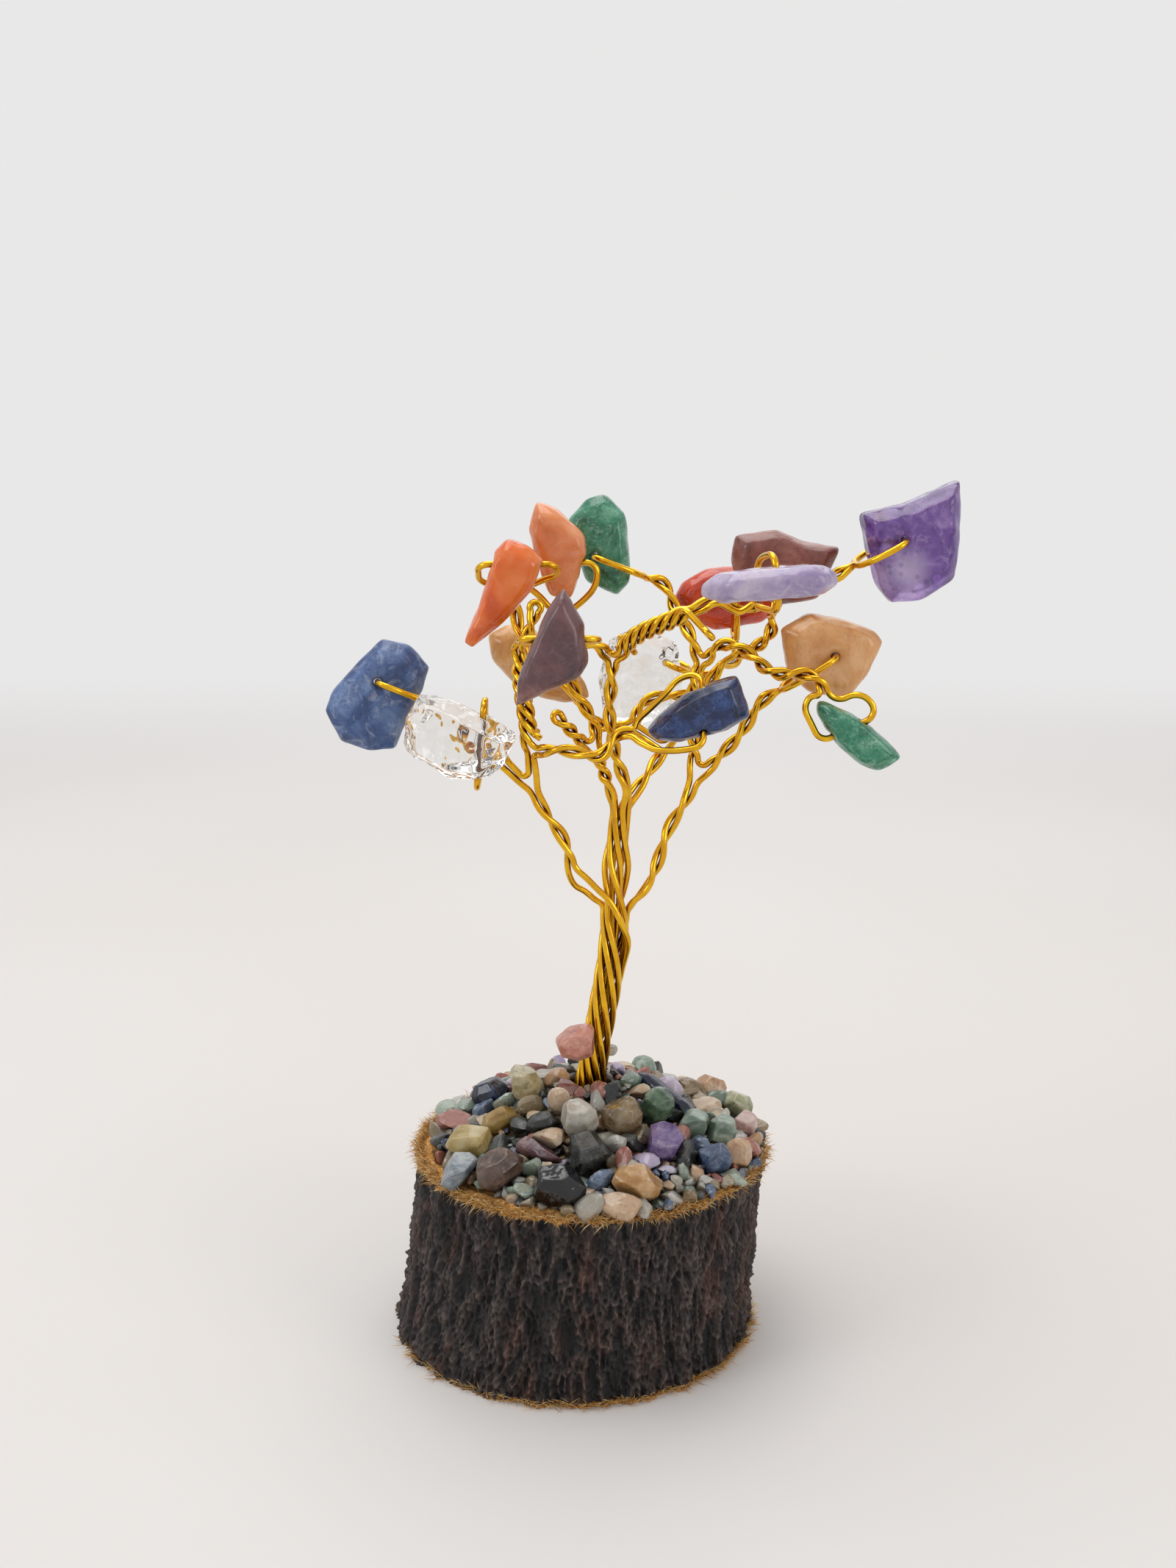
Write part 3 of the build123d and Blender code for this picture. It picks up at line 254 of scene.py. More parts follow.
mineralColumns = ("colours", "patch", "veil", "speck", "clear", "glow", "rough", "rim", "window")
mineralRows = {
    "sodalite": (["#233257", "#3D588C", "#6F88B4"], 2.6, ("#C6D0E2", 1.3, 0.34),
                 ("#1B2742", 0.35, 0.20), 0.0, 0.06, (0.45, 0.66)),
    "navy": (["#060A16", "#0E1832", "#1D2E56"], 1.2, ("#5C6C90", 0.6, 0.20),
             ("#05070F", 0.30, 0.30), 0.0, 0.04, (0.16, 0.34)),
    "lapis": (["#0C142C", "#1A2E5C", "#2F4E88"], 1.2, ("#7485A8", 0.6, 0.26),
              ("#080C1A", 0.30, 0.34), 0.0, 0.04, (0.22, 0.42)),
    "rockCrystal": (["#F2EFEA", "#F8F7F4", "#FFFFFF"], 1.6, ("#FFFFFF", 1.0, 0.08),
                    ("#C8A56A", 0.9, 0.04), 0.98, 0.0, (0.02, 0.10)),
    "carnelian": (["#D9560A", "#EF7420", "#F48A42"], 3.2, ("#FBAE82", 2.2, 0.24),
                  ("#C4500F", 0.5, 0.05), 0.12, 0.50, (0.14, 0.30), ("#F8A67C", 0.60)),
    "orangeAventurine": (["#DC7A3E", "#EB9156", "#F2AA7A"], 2.6, ("#FBC9A6", 1.6, 0.26),
                         ("#CF6C32", 0.4, 0.10), 0.12, 0.50, (0.14, 0.30), ("#F8B898", 0.65)),
    "greenAventurine": (["#14573C", "#338868", "#74B295"], 1.5, ("#C2DFCE", 0.5, 0.42),
                        ("#0E452F", 0.32, 0.26), 0.06, 0.25, (0.22, 0.42)),
    "brownJasper": (["#47333A", "#6B484B", "#8A605B"], 3.4, ("#A48682", 1.4, 0.14),
                    ("#33201F", 0.5, 0.14), 0.0, 0.04, (0.30, 0.50)),
    "peachAventurine": (["#C88A44", "#E0AA66", "#EFC894"], 2.4, ("#FBE6C8", 1.5, 0.26),
                        ("#B77B3A", 0.45, 0.12), 0.12, 0.45, (0.20, 0.36), ("#F8DFBC", 0.55)),
    "paleAmethyst": (["#9B8BBE", "#C2B4D6", "#E4DDE8"], 2.8, ("#F3EEF2", 1.6, 0.36),
                     ("#8A78AC", 0.5, 0.08), 0.25, 0.35, (0.16, 0.34), ("#EEE7EE", 0.45)),
    "redJasper": (["#66342D", "#8A5046", "#A66E60"], 2.2, ("#B98273", 1.2, 0.18),
                  ("#43201B", 0.4, 0.18), 0.0, 0.05, (0.32, 0.50)),
    "redCarnelian": (["#B4260D", "#DF4C25", "#EE764A"], 2.8, ("#F59C78", 1.8, 0.22),
                     ("#8E2210", 0.4, 0.12), 0.15, 0.50, (0.14, 0.30), ("#F6936C", 0.55)),
    "amethyst": (["#4E2C7C", "#7B54A6", "#B394CC"], 1.8, ("#E2D2EC", 1.0, 0.26),
                 ("#3A1F5E", 0.7, 0.20), 0.55, 0.12, (0.08, 0.24), ("#3C1F60", 0.55),
                 ((24.3, -1.0, 62.7), (1.1, 2.9), "#E9D8F2")),
    "amethystShard": (["#5F4488", "#8C72AE", "#C3B0D4"], 1.4, ("#E6DCEE", 0.8, 0.30),
                      ("#43296A", 0.5, 0.16), 0.45, 0.20, (0.08, 0.22)),
    "moonstone": (["#CB8A4C", "#E0A566", "#EFC08C"], 2.8, ("#F8D8B4", 1.8, 0.24),
                  ("#B8733E", 0.4, 0.12), 0.06, 0.40, (0.24, 0.42), ("#F8D3AC", 0.50)),
    "roseQuartz": (["#C79C94", "#DDBBB2", "#EFDAD2"], 1.2, ("#F6E9E4", 0.8, 0.30),
                   ("#A66C66", 0.3, 0.12), 0.40, 0.40, (0.16, 0.34)),
    "rhodonite": (["#B5695A", "#CF8B78", "#E2B09E"], 1.5, ("#EFD0C0", 0.8, 0.26),
                  ("#96524A", 0.35, 0.16), 0.12, 0.35, (0.26, 0.46), ("#F0CFBE", 0.60)),
    "citrine": (["#A07C2A", "#CCA44C", "#E2C988"], 1.5, ("#EFE2B8", 0.9, 0.24),
                ("#80601C", 0.35, 0.12), 0.50, 0.25, (0.10, 0.26)),
    "calcite": (["#A58C4A", "#C8B172", "#DFD0A2"], 1.6, ("#EDE4C4", 1.0, 0.26),
                ("#86703A", 0.4, 0.12), 0.28, 0.35, (0.16, 0.34)),
    "smokyQuartz": (["#8A7048", "#BBA078", "#E0D0AC"], 1.4, ("#EFE6CE", 0.9, 0.28),
                    ("#54401F", 0.5, 0.20), 0.60, 0.10, (0.06, 0.20)),
    "clearYellow": (["#BDAE7C", "#DACFA4", "#F1ECD4"], 1.4, ("#FFFCF0", 0.7, 0.34),
                    ("#6E5A30", 0.7, 0.20), 0.50, 0.25, (0.05, 0.18)),
    "milkyQuartz": (["#CCC3B0", "#E3DDCF", "#F8F6F0"], 1.2, ("#FFFDF8", 0.8, 0.34),
                    ("#8E8268", 0.5, 0.12), 0.50, 0.25, (0.08, 0.22)),
    "obsidian": (["#050607", "#0B0C0F", "#15181C"], 2.4, ("#20252B", 1.6, 0.08),
                 ("#040405", 0.5, 0.05), 0.0, 0.0, (0.04, 0.10)),
    "tourmaline": (["#0E100F", "#262A28", "#4A4E49"], 0.6, ("#6B7169", 0.4, 0.20),
                   ("#060706", 0.25, 0.40), 0.0, 0.0, (0.45, 0.75)),
    "paleGreen": (["#6B8476", "#98AE9C", "#C8D4C6"], 1.4, ("#DFEADF", 0.9, 0.26),
                  ("#4E7260", 0.35, 0.16), 0.35, 0.25, (0.12, 0.30)),
    "forestGreen": (["#28402F", "#46614A", "#6F8A6C"], 1.3, ("#A3BBA0", 0.8, 0.22),
                    ("#1F3A2A", 0.3, 0.28), 0.06, 0.25, (0.24, 0.42)),
    "olive": (["#7E8462", "#A3A684", "#C6C8A8"], 1.5, ("#DADCC2", 0.9, 0.26),
              ("#5F6446", 0.35, 0.12), 0.06, 0.30, (0.26, 0.44)),
    "cream": (["#B58A66", "#D4AE88", "#EAD5BA"], 1.5, ("#F6EBDA", 0.9, 0.28),
              ("#9A7450", 0.35, 0.14), 0.30, 0.35, (0.14, 0.34)),
    "agate": (["#B07A3C", "#D3A468", "#EBCDA0"], 1.6, ("#F3E2C2", 0.8, 0.30),
              ("#8F5A24", 0.35, 0.14), 0.35, 0.35, (0.12, 0.30)),
    "chalcedony": (["#5C6A74", "#8996A0", "#BCC4C6"], 1.6, ("#DAD9CC", 1.0, 0.30),
                   ("#3E4A54", 0.35, 0.16), 0.22, 0.30, (0.22, 0.40)),
    "brownStone": (["#3E2E28", "#5E4A40", "#7E6A5C"], 1.8, ("#93806F", 1.1, 0.20),
                   ("#2A1E1A", 0.4, 0.20), 0.0, 0.03, (0.30, 0.50)),
    "dumortierite": (["#203250", "#43597C", "#8294AC"], 1.1, ("#B4C0D0", 0.7, 0.28),
                     ("#152238", 0.3, 0.24), 0.18, 0.18, (0.18, 0.36)),
}
minerals = {name: dict(zip(mineralColumns, row)) for name, row in mineralRows.items()}
stoneFinish = {
    # mm: grit and dimples with their depths, thickness of a thin edge, reach of the painted shade between
    # stones and of inner light
    "grit": 0.16, "gritDepth": 0.03, "dimple": 1.1, "dimpleDepth": 0.10,
    "thin": 0.9, "gapShadeReach": 1.1, "glowReach": 1.2,
    # shares of the mineral's roughness on drum-polished chips and on broken stones
    "polish": 0.62, "brokenPolish": 0.45,
    # the dark colour below is painted shade between the stones with some glue dust, and the share after it
    # is the most that shade covers
    "dust": "#120C08", "gapShadeMost": 0.92, "ownShade": 0.62,
    # the noise or occlusion values between which each of these comes in
    "thinSpan": (0.70, 0.20), "veilSpan": (0.52, 0.74), "speckSpan": (0.36, 0.16), "gapShadeSpan": (0.66, 0.18),
    "veilGain": 1.6, "speckGain": 1.8,
}


def tumbledStone(name, look, islandTint=False, dustAndGapShade=False):
    # drum-tumbled mineral: waxy skin with small dimples, colour in clouds, veils and specks
    material, tree = emptyMaterial(name)
    spot = addNode(tree, "TexCoord")
    where = spot.outputs["Object"]
    clouds = addNode(tree, "TexNoise", {"Vector": where, "Scale": 1 / (look["patch"] * mm), "Detail": 5.0,
                                        "Roughness": 0.55, "Distortion": 0.6})
    deep, body, light = [linearColour(code) for code in look["colours"]]
    tone = addNode(tree, "ValToRGB", {"Fac": clouds.outputs["Fac"]},
                   stops=[(0.30, deep), (0.50, body), (0.72, light)])
    colour = tone.outputs["Color"]
    if islandTint:
        # every crumb of the group takes a shade of its own
        shade = addNode(tree, "NewGeometry")
        each = addNode(tree, "ValToRGB", {"Fac": shade.outputs["Random Per Island"]},
                       stops=[(0.0, deep), (0.35, body), (0.75, light)])
        colour = addNode(tree, "Mix", {0: stoneFinish["ownShade"], 6: colour, 7: each.outputs["Color"]},
                         data_type="RGBA").outputs[2]
    elif "rim" in look:
        # thin edges: a paler rim colour is painted light, as if scattered through them; a darker rim colour
        # is colour gathered there
        rimColour, rimAmount = look["rim"]
        start, full = stoneFinish["thinSpan"]
        depth = addNode(tree, "AmbientOcclusion", {"Distance": stoneFinish["thin"] * mm}, samples=4,
                        inside=True, only_local=True)
        thin = addNode(tree, "MapRange", {"Value": depth.outputs["AO"], "From Min": start, "From Max": full,
                                          "To Max": rimAmount})
        colour = addNode(tree, "Mix", {0: thin.outputs["Result"], 6: colour, 7: linearColour(rimColour)},
                         data_type="RGBA").outputs[2]
    if "window" in look:
        # a pale clear zone inside the crystal
        place, (core, edge), windowColour = look["window"]
        far = addNode(tree, "VectorMath", {0: where, 1: [value * mm for value in place]},
                      operation="DISTANCE")
        pale = addNode(tree, "MapRange", {"Value": far.outputs["Value"], "From Min": edge * mm,
                                          "From Max": core * mm}, interpolation_type="SMOOTHSTEP")
        colour = addNode(tree, "Mix", {0: pale.outputs["Result"], 6: colour, 7: linearColour(windowColour)},
                         data_type="RGBA").outputs[2]
    veilColour, veilSize, veilAmount = look["veil"]
    veils = addNode(tree, "TexNoise", {"Vector": where, "Scale": 1 / (veilSize * mm), "Detail": 8.0,
                                       "Roughness": 0.68, "Distortion": 1.4})
    start, full = stoneFinish["veilSpan"]
    veil = addNode(tree, "MapRange", {"Value": veils.outputs["Fac"], "From Min": start, "From Max": full,
                                      "To Max": veilAmount * stoneFinish["veilGain"]})
    colour = addNode(tree, "Mix", {0: veil.outputs["Result"], 6: colour, 7: linearColour(veilColour)},
                     data_type="RGBA").outputs[2]
    speckColour, speckSize, speckAmount = look["speck"]
    cells = addNode(tree, "TexVoronoi", {"Vector": where, "Scale": 1 / (speckSize * mm), "Randomness": 1.0})
    start, full = stoneFinish["speckSpan"]
    speck = addNode(tree, "MapRange", {"Value": cells.outputs["Distance"], "From Min": start,
                                       "From Max": full, "To Max": speckAmount * stoneFinish["speckGain"]})
    colour = addNode(tree, "Mix", {0: speck.outputs["Result"], 6: colour, 7: linearColour(speckColour)},
                     data_type="RGBA").outputs[2]
    if dustAndGapShade:
        # painted shade with some glue dust: the stone darkens where its neighbours touch it and shade it
        start, full = stoneFinish["gapShadeSpan"]
        near = addNode(tree, "AmbientOcclusion", {"Distance": stoneFinish["gapShadeReach"] * mm}, samples=4)
        paintedGapShade = addNode(tree, "MapRange", {"Value": near.outputs["AO"], "From Min": start, "From Max": full,
                                          "To Max": stoneFinish["gapShadeMost"] * (1 - look["clear"])})
        colour = addNode(tree, "Mix", {0: paintedGapShade.outputs["Result"], 6: colour,
                                       7: linearColour(stoneFinish["dust"])}, data_type="RGBA").outputs[2]
    grit = addNode(tree, "TexNoise", {"Vector": where, "Scale": 1 / (stoneFinish["grit"] * mm),
                                      "Detail": 4.0})
    dimples = addNode(tree, "TexNoise", {"Vector": where, "Scale": 1 / (stoneFinish["dimple"] * mm),
                                         "Detail": 3.0})
    # a duller skin is a bumpier one
    polishShare = stoneFinish["brokenPolish" if dustAndGapShade else "polish"]
    smooth, dull = [value * polishShare for value in look["rough"]]
    relief = min(1.0, 3 * smooth)
    skin = addNode(tree, "Bump", {"Height": dimples.outputs["Fac"], "Strength": 0.7 * relief,
                                  "Distance": stoneFinish["dimpleDepth"] * mm})
    skin = addNode(tree, "Bump", {"Height": grit.outputs["Fac"], "Strength": 0.5 * relief,
                                  "Distance": stoneFinish["gritDepth"] * mm,
                                  "Normal": skin.outputs["Normal"]})
    polish = addNode(tree, "MapRange", {"Value": veils.outputs["Fac"], "From Min": 0.3, "From Max": 0.7,
                                        "To Min": smooth, "To Max": dull})
    shader = addNode(tree, "BsdfPrincipled", {
        "Base Color": colour, "Roughness": polish.outputs["Result"], "IOR": 1.54,
        "Subsurface Weight": look["glow"], "Subsurface Radius": (1.0, 0.55, 0.35),
        "Subsurface Scale": stoneFinish["glowReach"] * mm,
        "Transmission Weight": look["clear"], "Normal": skin.outputs["Normal"]})
    addNode(tree, "OutputMaterial", {"Surface": shader.outputs[0]})
    return material


# radii in mm: the hole as drilled and as shown, the least it may shrink to, and how far out the
# stone gives way
boreFit = {"drilled": 0.5, "shown": 0.36, "least": 0.324, "reach": 0.95}


def narrowBore(mesh, joint):
    # the visible hole fits the wire more closely than the free fit of the CAD hole
    origin = Vector(joint["pos_m"]) / mm
    axis = Vector(joint["axis"]).normalized()
    slope = (boreFit["reach"] - boreFit["shown"]) / (boreFit["reach"] - boreFit["drilled"])
    for vertex in mesh.vertices:
        away = vertex.co - origin
        away -= axis * away.dot(axis)
        distance = away.length
        if 0 < distance < boreFit["reach"]:
            wanted = boreFit["shown"] + (distance - boreFit["drilled"]) * slope
            vertex.co += away * (max(wanted, boreFit["least"]) / distance - 1)


def breakFaces(mesh, seed, count, depth):
    # flat breaks in random directions, each cut a little way into the stone
    draw = random.Random(seed)
    points = [vertex.co.copy() for vertex in mesh.vertices]
    middle = sum(points, Vector()) / len(points)
    for index in range(count):
        way = Vector((draw.gauss(0, 1), draw.gauss(0, 1), draw.gauss(0, 1))).normalized()
        limit = middle.dot(way) + max((point - middle).dot(way) for point in points) * draw.uniform(*depth)
        for point in points:
            over = point.dot(way) - limit
            if over > 0:
                point -= way * over
    for vertex, point in zip(mesh.vertices, points):
        vertex.co = point


def roundedCopy(node, name, material, voxel, rounds, dent, dentSize, breaks=0, breakDepth=None,
                grow=1.0, joint=None):
    # rounds the corners of a CAD stone as tumbling does: fine remesh, smoothing, shallow dents.
    # A broken one first grows and gets flat breaks, and one on a joint gets its close hole
    mesh = node.data.copy()
    mesh.transform(Matrix.Scale(1 / mm, 4))
    work = bpy.data.objects.new(name + "Work", mesh)
    bpy.context.scene.collection.objects.link(work)
    remesh = work.modifiers.new("remesh", "REMESH")
    remesh.mode = "VOXEL"
    remesh.voxel_size = voxel
    ease = work.modifiers.new("smooth", "SMOOTH")
    ease.factor = 0.5
    ease.iterations = rounds
    bpy.context.view_layer.update()
    evaluated = work.evaluated_get(bpy.context.evaluated_depsgraph_get())
    finished = bpy.data.meshes.new_from_object(evaluated)
    bpy.data.objects.remove(work)
    if breaks:
        middle = sum((vertex.co for vertex in finished.vertices), Vector()) / len(finished.vertices)
        finished.transform(Matrix.Translation(middle) @ Matrix.Scale(grow, 4) @ Matrix.Translation(-middle))
        breakFaces(finished, name, breaks, breakDepth)
    # the normals are read first, because each move would have them worked out again
    normals = [vertex.normal.copy() for vertex in finished.vertices]
    for vertex, normal in zip(finished.vertices, normals):
        wave = noise.noise(vertex.co / dentSize) + 0.5 * noise.noise(vertex.co / (dentSize * 0.4))
        vertex.co += normal * (wave * dent)
    if joint:
        narrowBore(finished, joint)
    finished.transform(Matrix.Scale(mm, 4))
    finished.polygons.foreach_set("use_smooth", [True] * len(finished.polygons))
    finished.materials.clear()
    finished.materials.append(material)
    piece = bpy.data.objects.new(name, finished)
    bpy.context.scene.collection.objects.link(piece)
    return piece


treeChips = {
    "blue_sodalite_chip": "sodalite", "rock_crystal_chip": "rockCrystal", "carnelian_chip": "carnelian",
    "orange_aventurine_chip": "orangeAventurine", "green_aventurine_chip": "greenAventurine",
    "brown_jasper_chip": "brownJasper", "peach_aventurine_chip": "peachAventurine",
    "clear_quartz_chip": "rockCrystal", "pale_amethyst_chip": "paleAmethyst", "red_jasper_chip": "redJasper",
    "red_carnelian_chip": "redCarnelian", "amethyst_chip": "amethyst", "peach_moonstone_chip": "moonstone",
    "small_green_chip": "greenAventurine", "lapis_chip": "lapis",
}
chipShape = {"voxel": 0.11, "rounds": 60, "dent": 0.12, "dentSize": 2.4}  # mm
crystalShape = {"voxel": 0.11, "rounds": 14, "dent": 0.20, "dentSize": 1.7,  # mm
                "breaks": 7, "breakDepth": (0.75, 0.95)}
chipJoints = {joint["child"]: joint for joint in frame["joints"]}
chipMaterials = {mineral: tumbledStone(mineral + "Tumbled", minerals[mineral])
                 for mineral in dict.fromkeys(treeChips.values())}
for name, mineral in treeChips.items():
    shape = crystalShape if mineral == "rockCrystal" else chipShape
    chip = roundedCopy(frame["nodes"][name], name + "_tumbled", chipMaterials[mineral],
                       joint=chipJoints[name], **shape)
    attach(chip, name)
    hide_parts(name)
print("tree chips finished:", len(treeChips))

baseStones = {
    "pink_rhodonite_stone": "rhodonite", "navy_bar_stone": "navy", "green_cone_stone": "forestGreen",
    "amethyst_stone": "amethystShard", "obsidian_stone": "obsidian", "black_tourmaline_stone": "tourmaline",
    "jasper_sliver_stone": "brownJasper", "brown_jasper_stone": "brownStone",
    "small_black_stone": "tourmaline",
    "yellow_calcite_stone": "calcite", "citrine_bar_stone": "citrine", "clear_crystal_stone": "clearYellow",
    "milky_crystal_stone": "milkyQuartz", "smoky_citrine_stone": "smokyQuartz", "peach_agate_stone": "agate",
    "green_oval_stone": "paleGreen", "pale_green_stone": "paleGreen", "blue_cube_stone": "dumortierite",
    "olive_stone": "olive", "cream_stone": "cream", "red_jasper_stone": "redJasper",
    "navy_sodalite_stone": "navy", "green_sliver_stone": "paleGreen", "grey_tooth_stone": "chalcedony",
    "peach_chunk_stone": "cream", "pale_pink_stone": "roseQuartz",
}
baseShape = {"voxel": 0.08, "rounds": 1, "dent": 0.03, "dentSize": 0.9,  # mm
             "breaks": 5, "breakDepth": (0.58, 0.90), "grow": 1.22}
baseMaterials = {mineral: tumbledStone(mineral + "Glued", minerals[mineral], dustAndGapShade=True)
                 for mineral in dict.fromkeys(baseStones.values())}
stonePoints, stoneFaces = [], []
for name, mineral in baseStones.items():
    stone = roundedCopy(frame["nodes"][name], name + "_tumbled", baseMaterials[mineral], **baseShape)
    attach(stone, "tree")
    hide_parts(name)
    first = len(stonePoints)
    stonePoints += [v.co / mm for v in stone.data.vertices]
    stoneFaces += [[first + index for index in p.vertices] for p in stone.data.polygons]
stoneTree = BVHTree.FromPolygons(stonePoints, stoneFaces)
print("base stones finished:", len(baseStones))

# Log

bark = {
    "around": 1400, "up": 190, "rimSteps": 8,
    # mm: widths and heights of the ridges, of the plates on them and of the crumbled skin
    "ridge": 1.05, "ridgeLength": 5.5, "plate": 0.55, "plateLength": 2.4,
    "crumble": 0.24, "crumbleLength": 0.384,
    "shares": (0.44, 0.38, 0.34),  # of ridges, plates and crumbled skin in the relief
    "sharpness": 1.9,
    "patternRadius": 14.5, "depth": 0.80, "sink": 0.036,  # mm
    "mean": 0.72,  # the relief that lies on the CAD surface
    # mm: the sawn edge, its fall, start and width, and the bands of torn fibre at top and foot
    "rimFall": 0.45, "rimStart": 0.15, "rimWidth": 1.15, "cutBand": 0.95, "footBand": 0.7,
    "edgeStep": 0.05,
    "broadSide": 3.7, "broadAmount": 0.5,  # radians and share, where the sawn edge is broadest
    # mm: stains, grain and fibres in the colours
    "stain": 2.2, "grain": 0.35, "grainDepth": 0.20, "fibreWidth": 0.30,
    # from furrow to crest these colours follow the relief: the darkest is painted shade in the furrows and
    # the grey crest a painted highlight
    "furrow": "#070404", "body": "#18110F", "upper": "#2F221D", "rust": "#5E3827", "crest": "#4F423C",
    "fibre": "#CB8E41", "fibreLight": "#EFCB8F", "fibreDark": "#8A5822",
}


def barkHeight(x, y, z):
    # from 0 in a furrow to 1 on a crest, at a place in mm
    sway = noise.noise((x / 6, y / 6, z / 7)) * 1.3 + noise.noise((x / 1.8, y / 1.8, z / 2.0)) * 0.35
    broad = noise.noise(((x + sway) / bark["ridge"], (y - sway) / bark["ridge"], z / bark["ridgeLength"]))
    narrow = noise.noise(((x - sway) / bark["plate"], (y + sway) / bark["plate"],
                          z / bark["plateLength"] + 7))
    fine = noise.noise((x / bark["crumble"], y / bark["crumble"], z / bark["crumbleLength"] + 3))
    crest = 1 - abs(broad) * bark["sharpness"]
    plate = 1 - abs(narrow) * bark["sharpness"]
    ofCrest, ofPlate, ofFine = bark["shares"]
    return min(max(ofCrest * crest + ofPlate * plate + ofFine * fine, 0), 1)


def cadRadius(tree, angle, z, reach=40):
    # where the CAD surface lies on a ray from outside towards the log's axis
    way = Vector((math.cos(angle), math.sin(angle), 0))
    hit = tree.ray_cast(Vector((0, 0, z)) + way * reach, -way)
    return (hit[0] - Vector((0, 0, z))).dot(way)


def sawnBark():
    # dry hardwood bark: near-black furrows with painted shade, brown plates with a satin skin and a painted
    # grey highlight on the crests, torn golden fibre where sawn
    material, tree = emptyMaterial("hardwoodBark")
    spot = addNode(tree, "TexCoord")
    where = spot.outputs["Object"]
    height = addNode(tree, "Attribute", attribute_name="barkHeight")
    cut = addNode(tree, "Attribute", attribute_name="sawnCut")
    tall = addNode(tree, "Mapping", {"Vector": where, "Scale": (1, 1, 0.3)})
    stain = addNode(tree, "TexNoise", {"Vector": tall.outputs[0], "Scale": 1 / (bark["stain"] * mm),
                                       "Detail": 6.0, "Roughness": 0.6})
    fine = addNode(tree, "TexNoise", {"Vector": tall.outputs[0], "Scale": 1 / (bark["grain"] * mm),
                                      "Detail": 5.0, "Roughness": 0.65})
    level = addNode(tree, "Math", {0: fine.outputs["Fac"], 1: 0.35, 2: height.outputs["Fac"]},
                    operation="MULTIPLY_ADD")
    # painted shade and highlight: near-black down in the furrows, grey on the crests, set by the relief
    # height
    tone = addNode(tree, "ValToRGB", {"Fac": level.outputs[0]},
                   stops=[(0.42, linearColour(bark["furrow"])), (0.64, linearColour(bark["body"])),
                          (0.84, linearColour(bark["upper"])), (1.0, linearColour(bark["crest"]))])
    rust = addNode(tree, "MapRange", {"Value": stain.outputs["Fac"], "From Min": 0.52, "From Max": 0.68,
                                      "To Max": 0.70})
    rust = addNode(tree, "Math", {0: rust.outputs["Result"], 1: level.outputs[0]}, operation="MULTIPLY")
    colour = addNode(tree, "Mix", {0: rust.outputs[0], 6: tone.outputs["Color"],
                                   7: linearColour(bark["rust"])}, data_type="RGBA", blend_type="LIGHTEN")
    fibres = addNode(tree, "TexNoise", {"Vector": where, "Scale": 1 / (bark["fibreWidth"] * mm),
                                        "Detail": 6.0, "Roughness": 0.7})
    torn = addNode(tree, "ValToRGB", {"Fac": fibres.outputs["Fac"]},
                   stops=[(0.32, linearColour(bark["fibreDark"])), (0.5, linearColour(bark["fibre"])),
                          (0.68, linearColour(bark["fibreLight"]))])
    ragged = addNode(tree, "Math", {0: fibres.outputs["Fac"], 1: 0.9, 2: cut.outputs["Fac"]},
                     operation="MULTIPLY_ADD")
    edge = addNode(tree, "MapRange", {"Value": ragged.outputs[0], "From Min": 0.78, "From Max": 1.0})
    skin = addNode(tree, "Mix", {0: edge.outputs["Result"], 6: colour.outputs[2], 7: torn.outputs["Color"]},
                   data_type="RGBA")
    gloss = addNode(tree, "MapRange", {"Value": level.outputs[0], "From Min": 0.5, "From Max": 1.1,
                                       "To Min": 0.72, "To Max": 0.36})
    dry = addNode(tree, "Math", {0: gloss.outputs["Result"], 1: edge.outputs["Result"]}, operation="MAXIMUM")
    grain = addNode(tree, "Bump", {"Height": fine.outputs["Fac"], "Strength": 1.0,
                                   "Distance": bark["grainDepth"] * mm})
    shader = addNode(tree, "BsdfPrincipled", {"Base Color": skin.outputs[2], "Roughness": dry.outputs[0],
                                              "Specular IOR Level": 0.55, "Normal": grain.outputs["Normal"]})
    addNode(tree, "OutputMaterial", {"Surface": shader.outputs[0]})
    return material


sawnWood = {
    "ring": 6.0, "fuzz": 0.4, "fuzzDepth": 0.15,  # mm
    "dark": "#7E5426", "body": "#B98442", "pale": "#DDB173",
}


def endGrain():
    # sawn end grain: pale rings, saw fuzz, dusty
    material, tree = emptyMaterial("sawnEndGrain")
    spot = addNode(tree, "TexCoord")
    rings = addNode(tree, "TexWave", {"Vector": spot.outputs["Object"], "Scale": 1 / (sawnWood["ring"] * mm),
                                      "Distortion": 2.0, "Detail": 3.0},
                    wave_type="RINGS", rings_direction="Z")
    fuzz = addNode(tree, "TexNoise", {"Vector": spot.outputs["Object"], "Scale": 1 / (sawnWood["fuzz"] * mm),
                                      "Detail": 6.0})
    mixed = addNode(tree, "Math", {0: fuzz.outputs["Fac"], 1: 0.6, 2: rings.outputs["Fac"]},
                    operation="MULTIPLY_ADD")
    tone = addNode(tree, "ValToRGB", {"Fac": mixed.outputs[0]},
                   stops=[(0.2, linearColour(sawnWood["dark"])), (0.7, linearColour(sawnWood["body"])),
                          (1.0, linearColour(sawnWood["pale"]))])
    rough = addNode(tree, "Bump", {"Height": fuzz.outputs["Fac"], "Strength": 0.7,
                                   "Distance": sawnWood["fuzzDepth"] * mm})
    shader = addNode(tree, "BsdfPrincipled", {"Base Color": tone.outputs["Color"], "Roughness": 0.85,
                                              "Normal": rough.outputs["Normal"]})
    addNode(tree, "OutputMaterial", {"Surface": shader.outputs[0]})
    return material


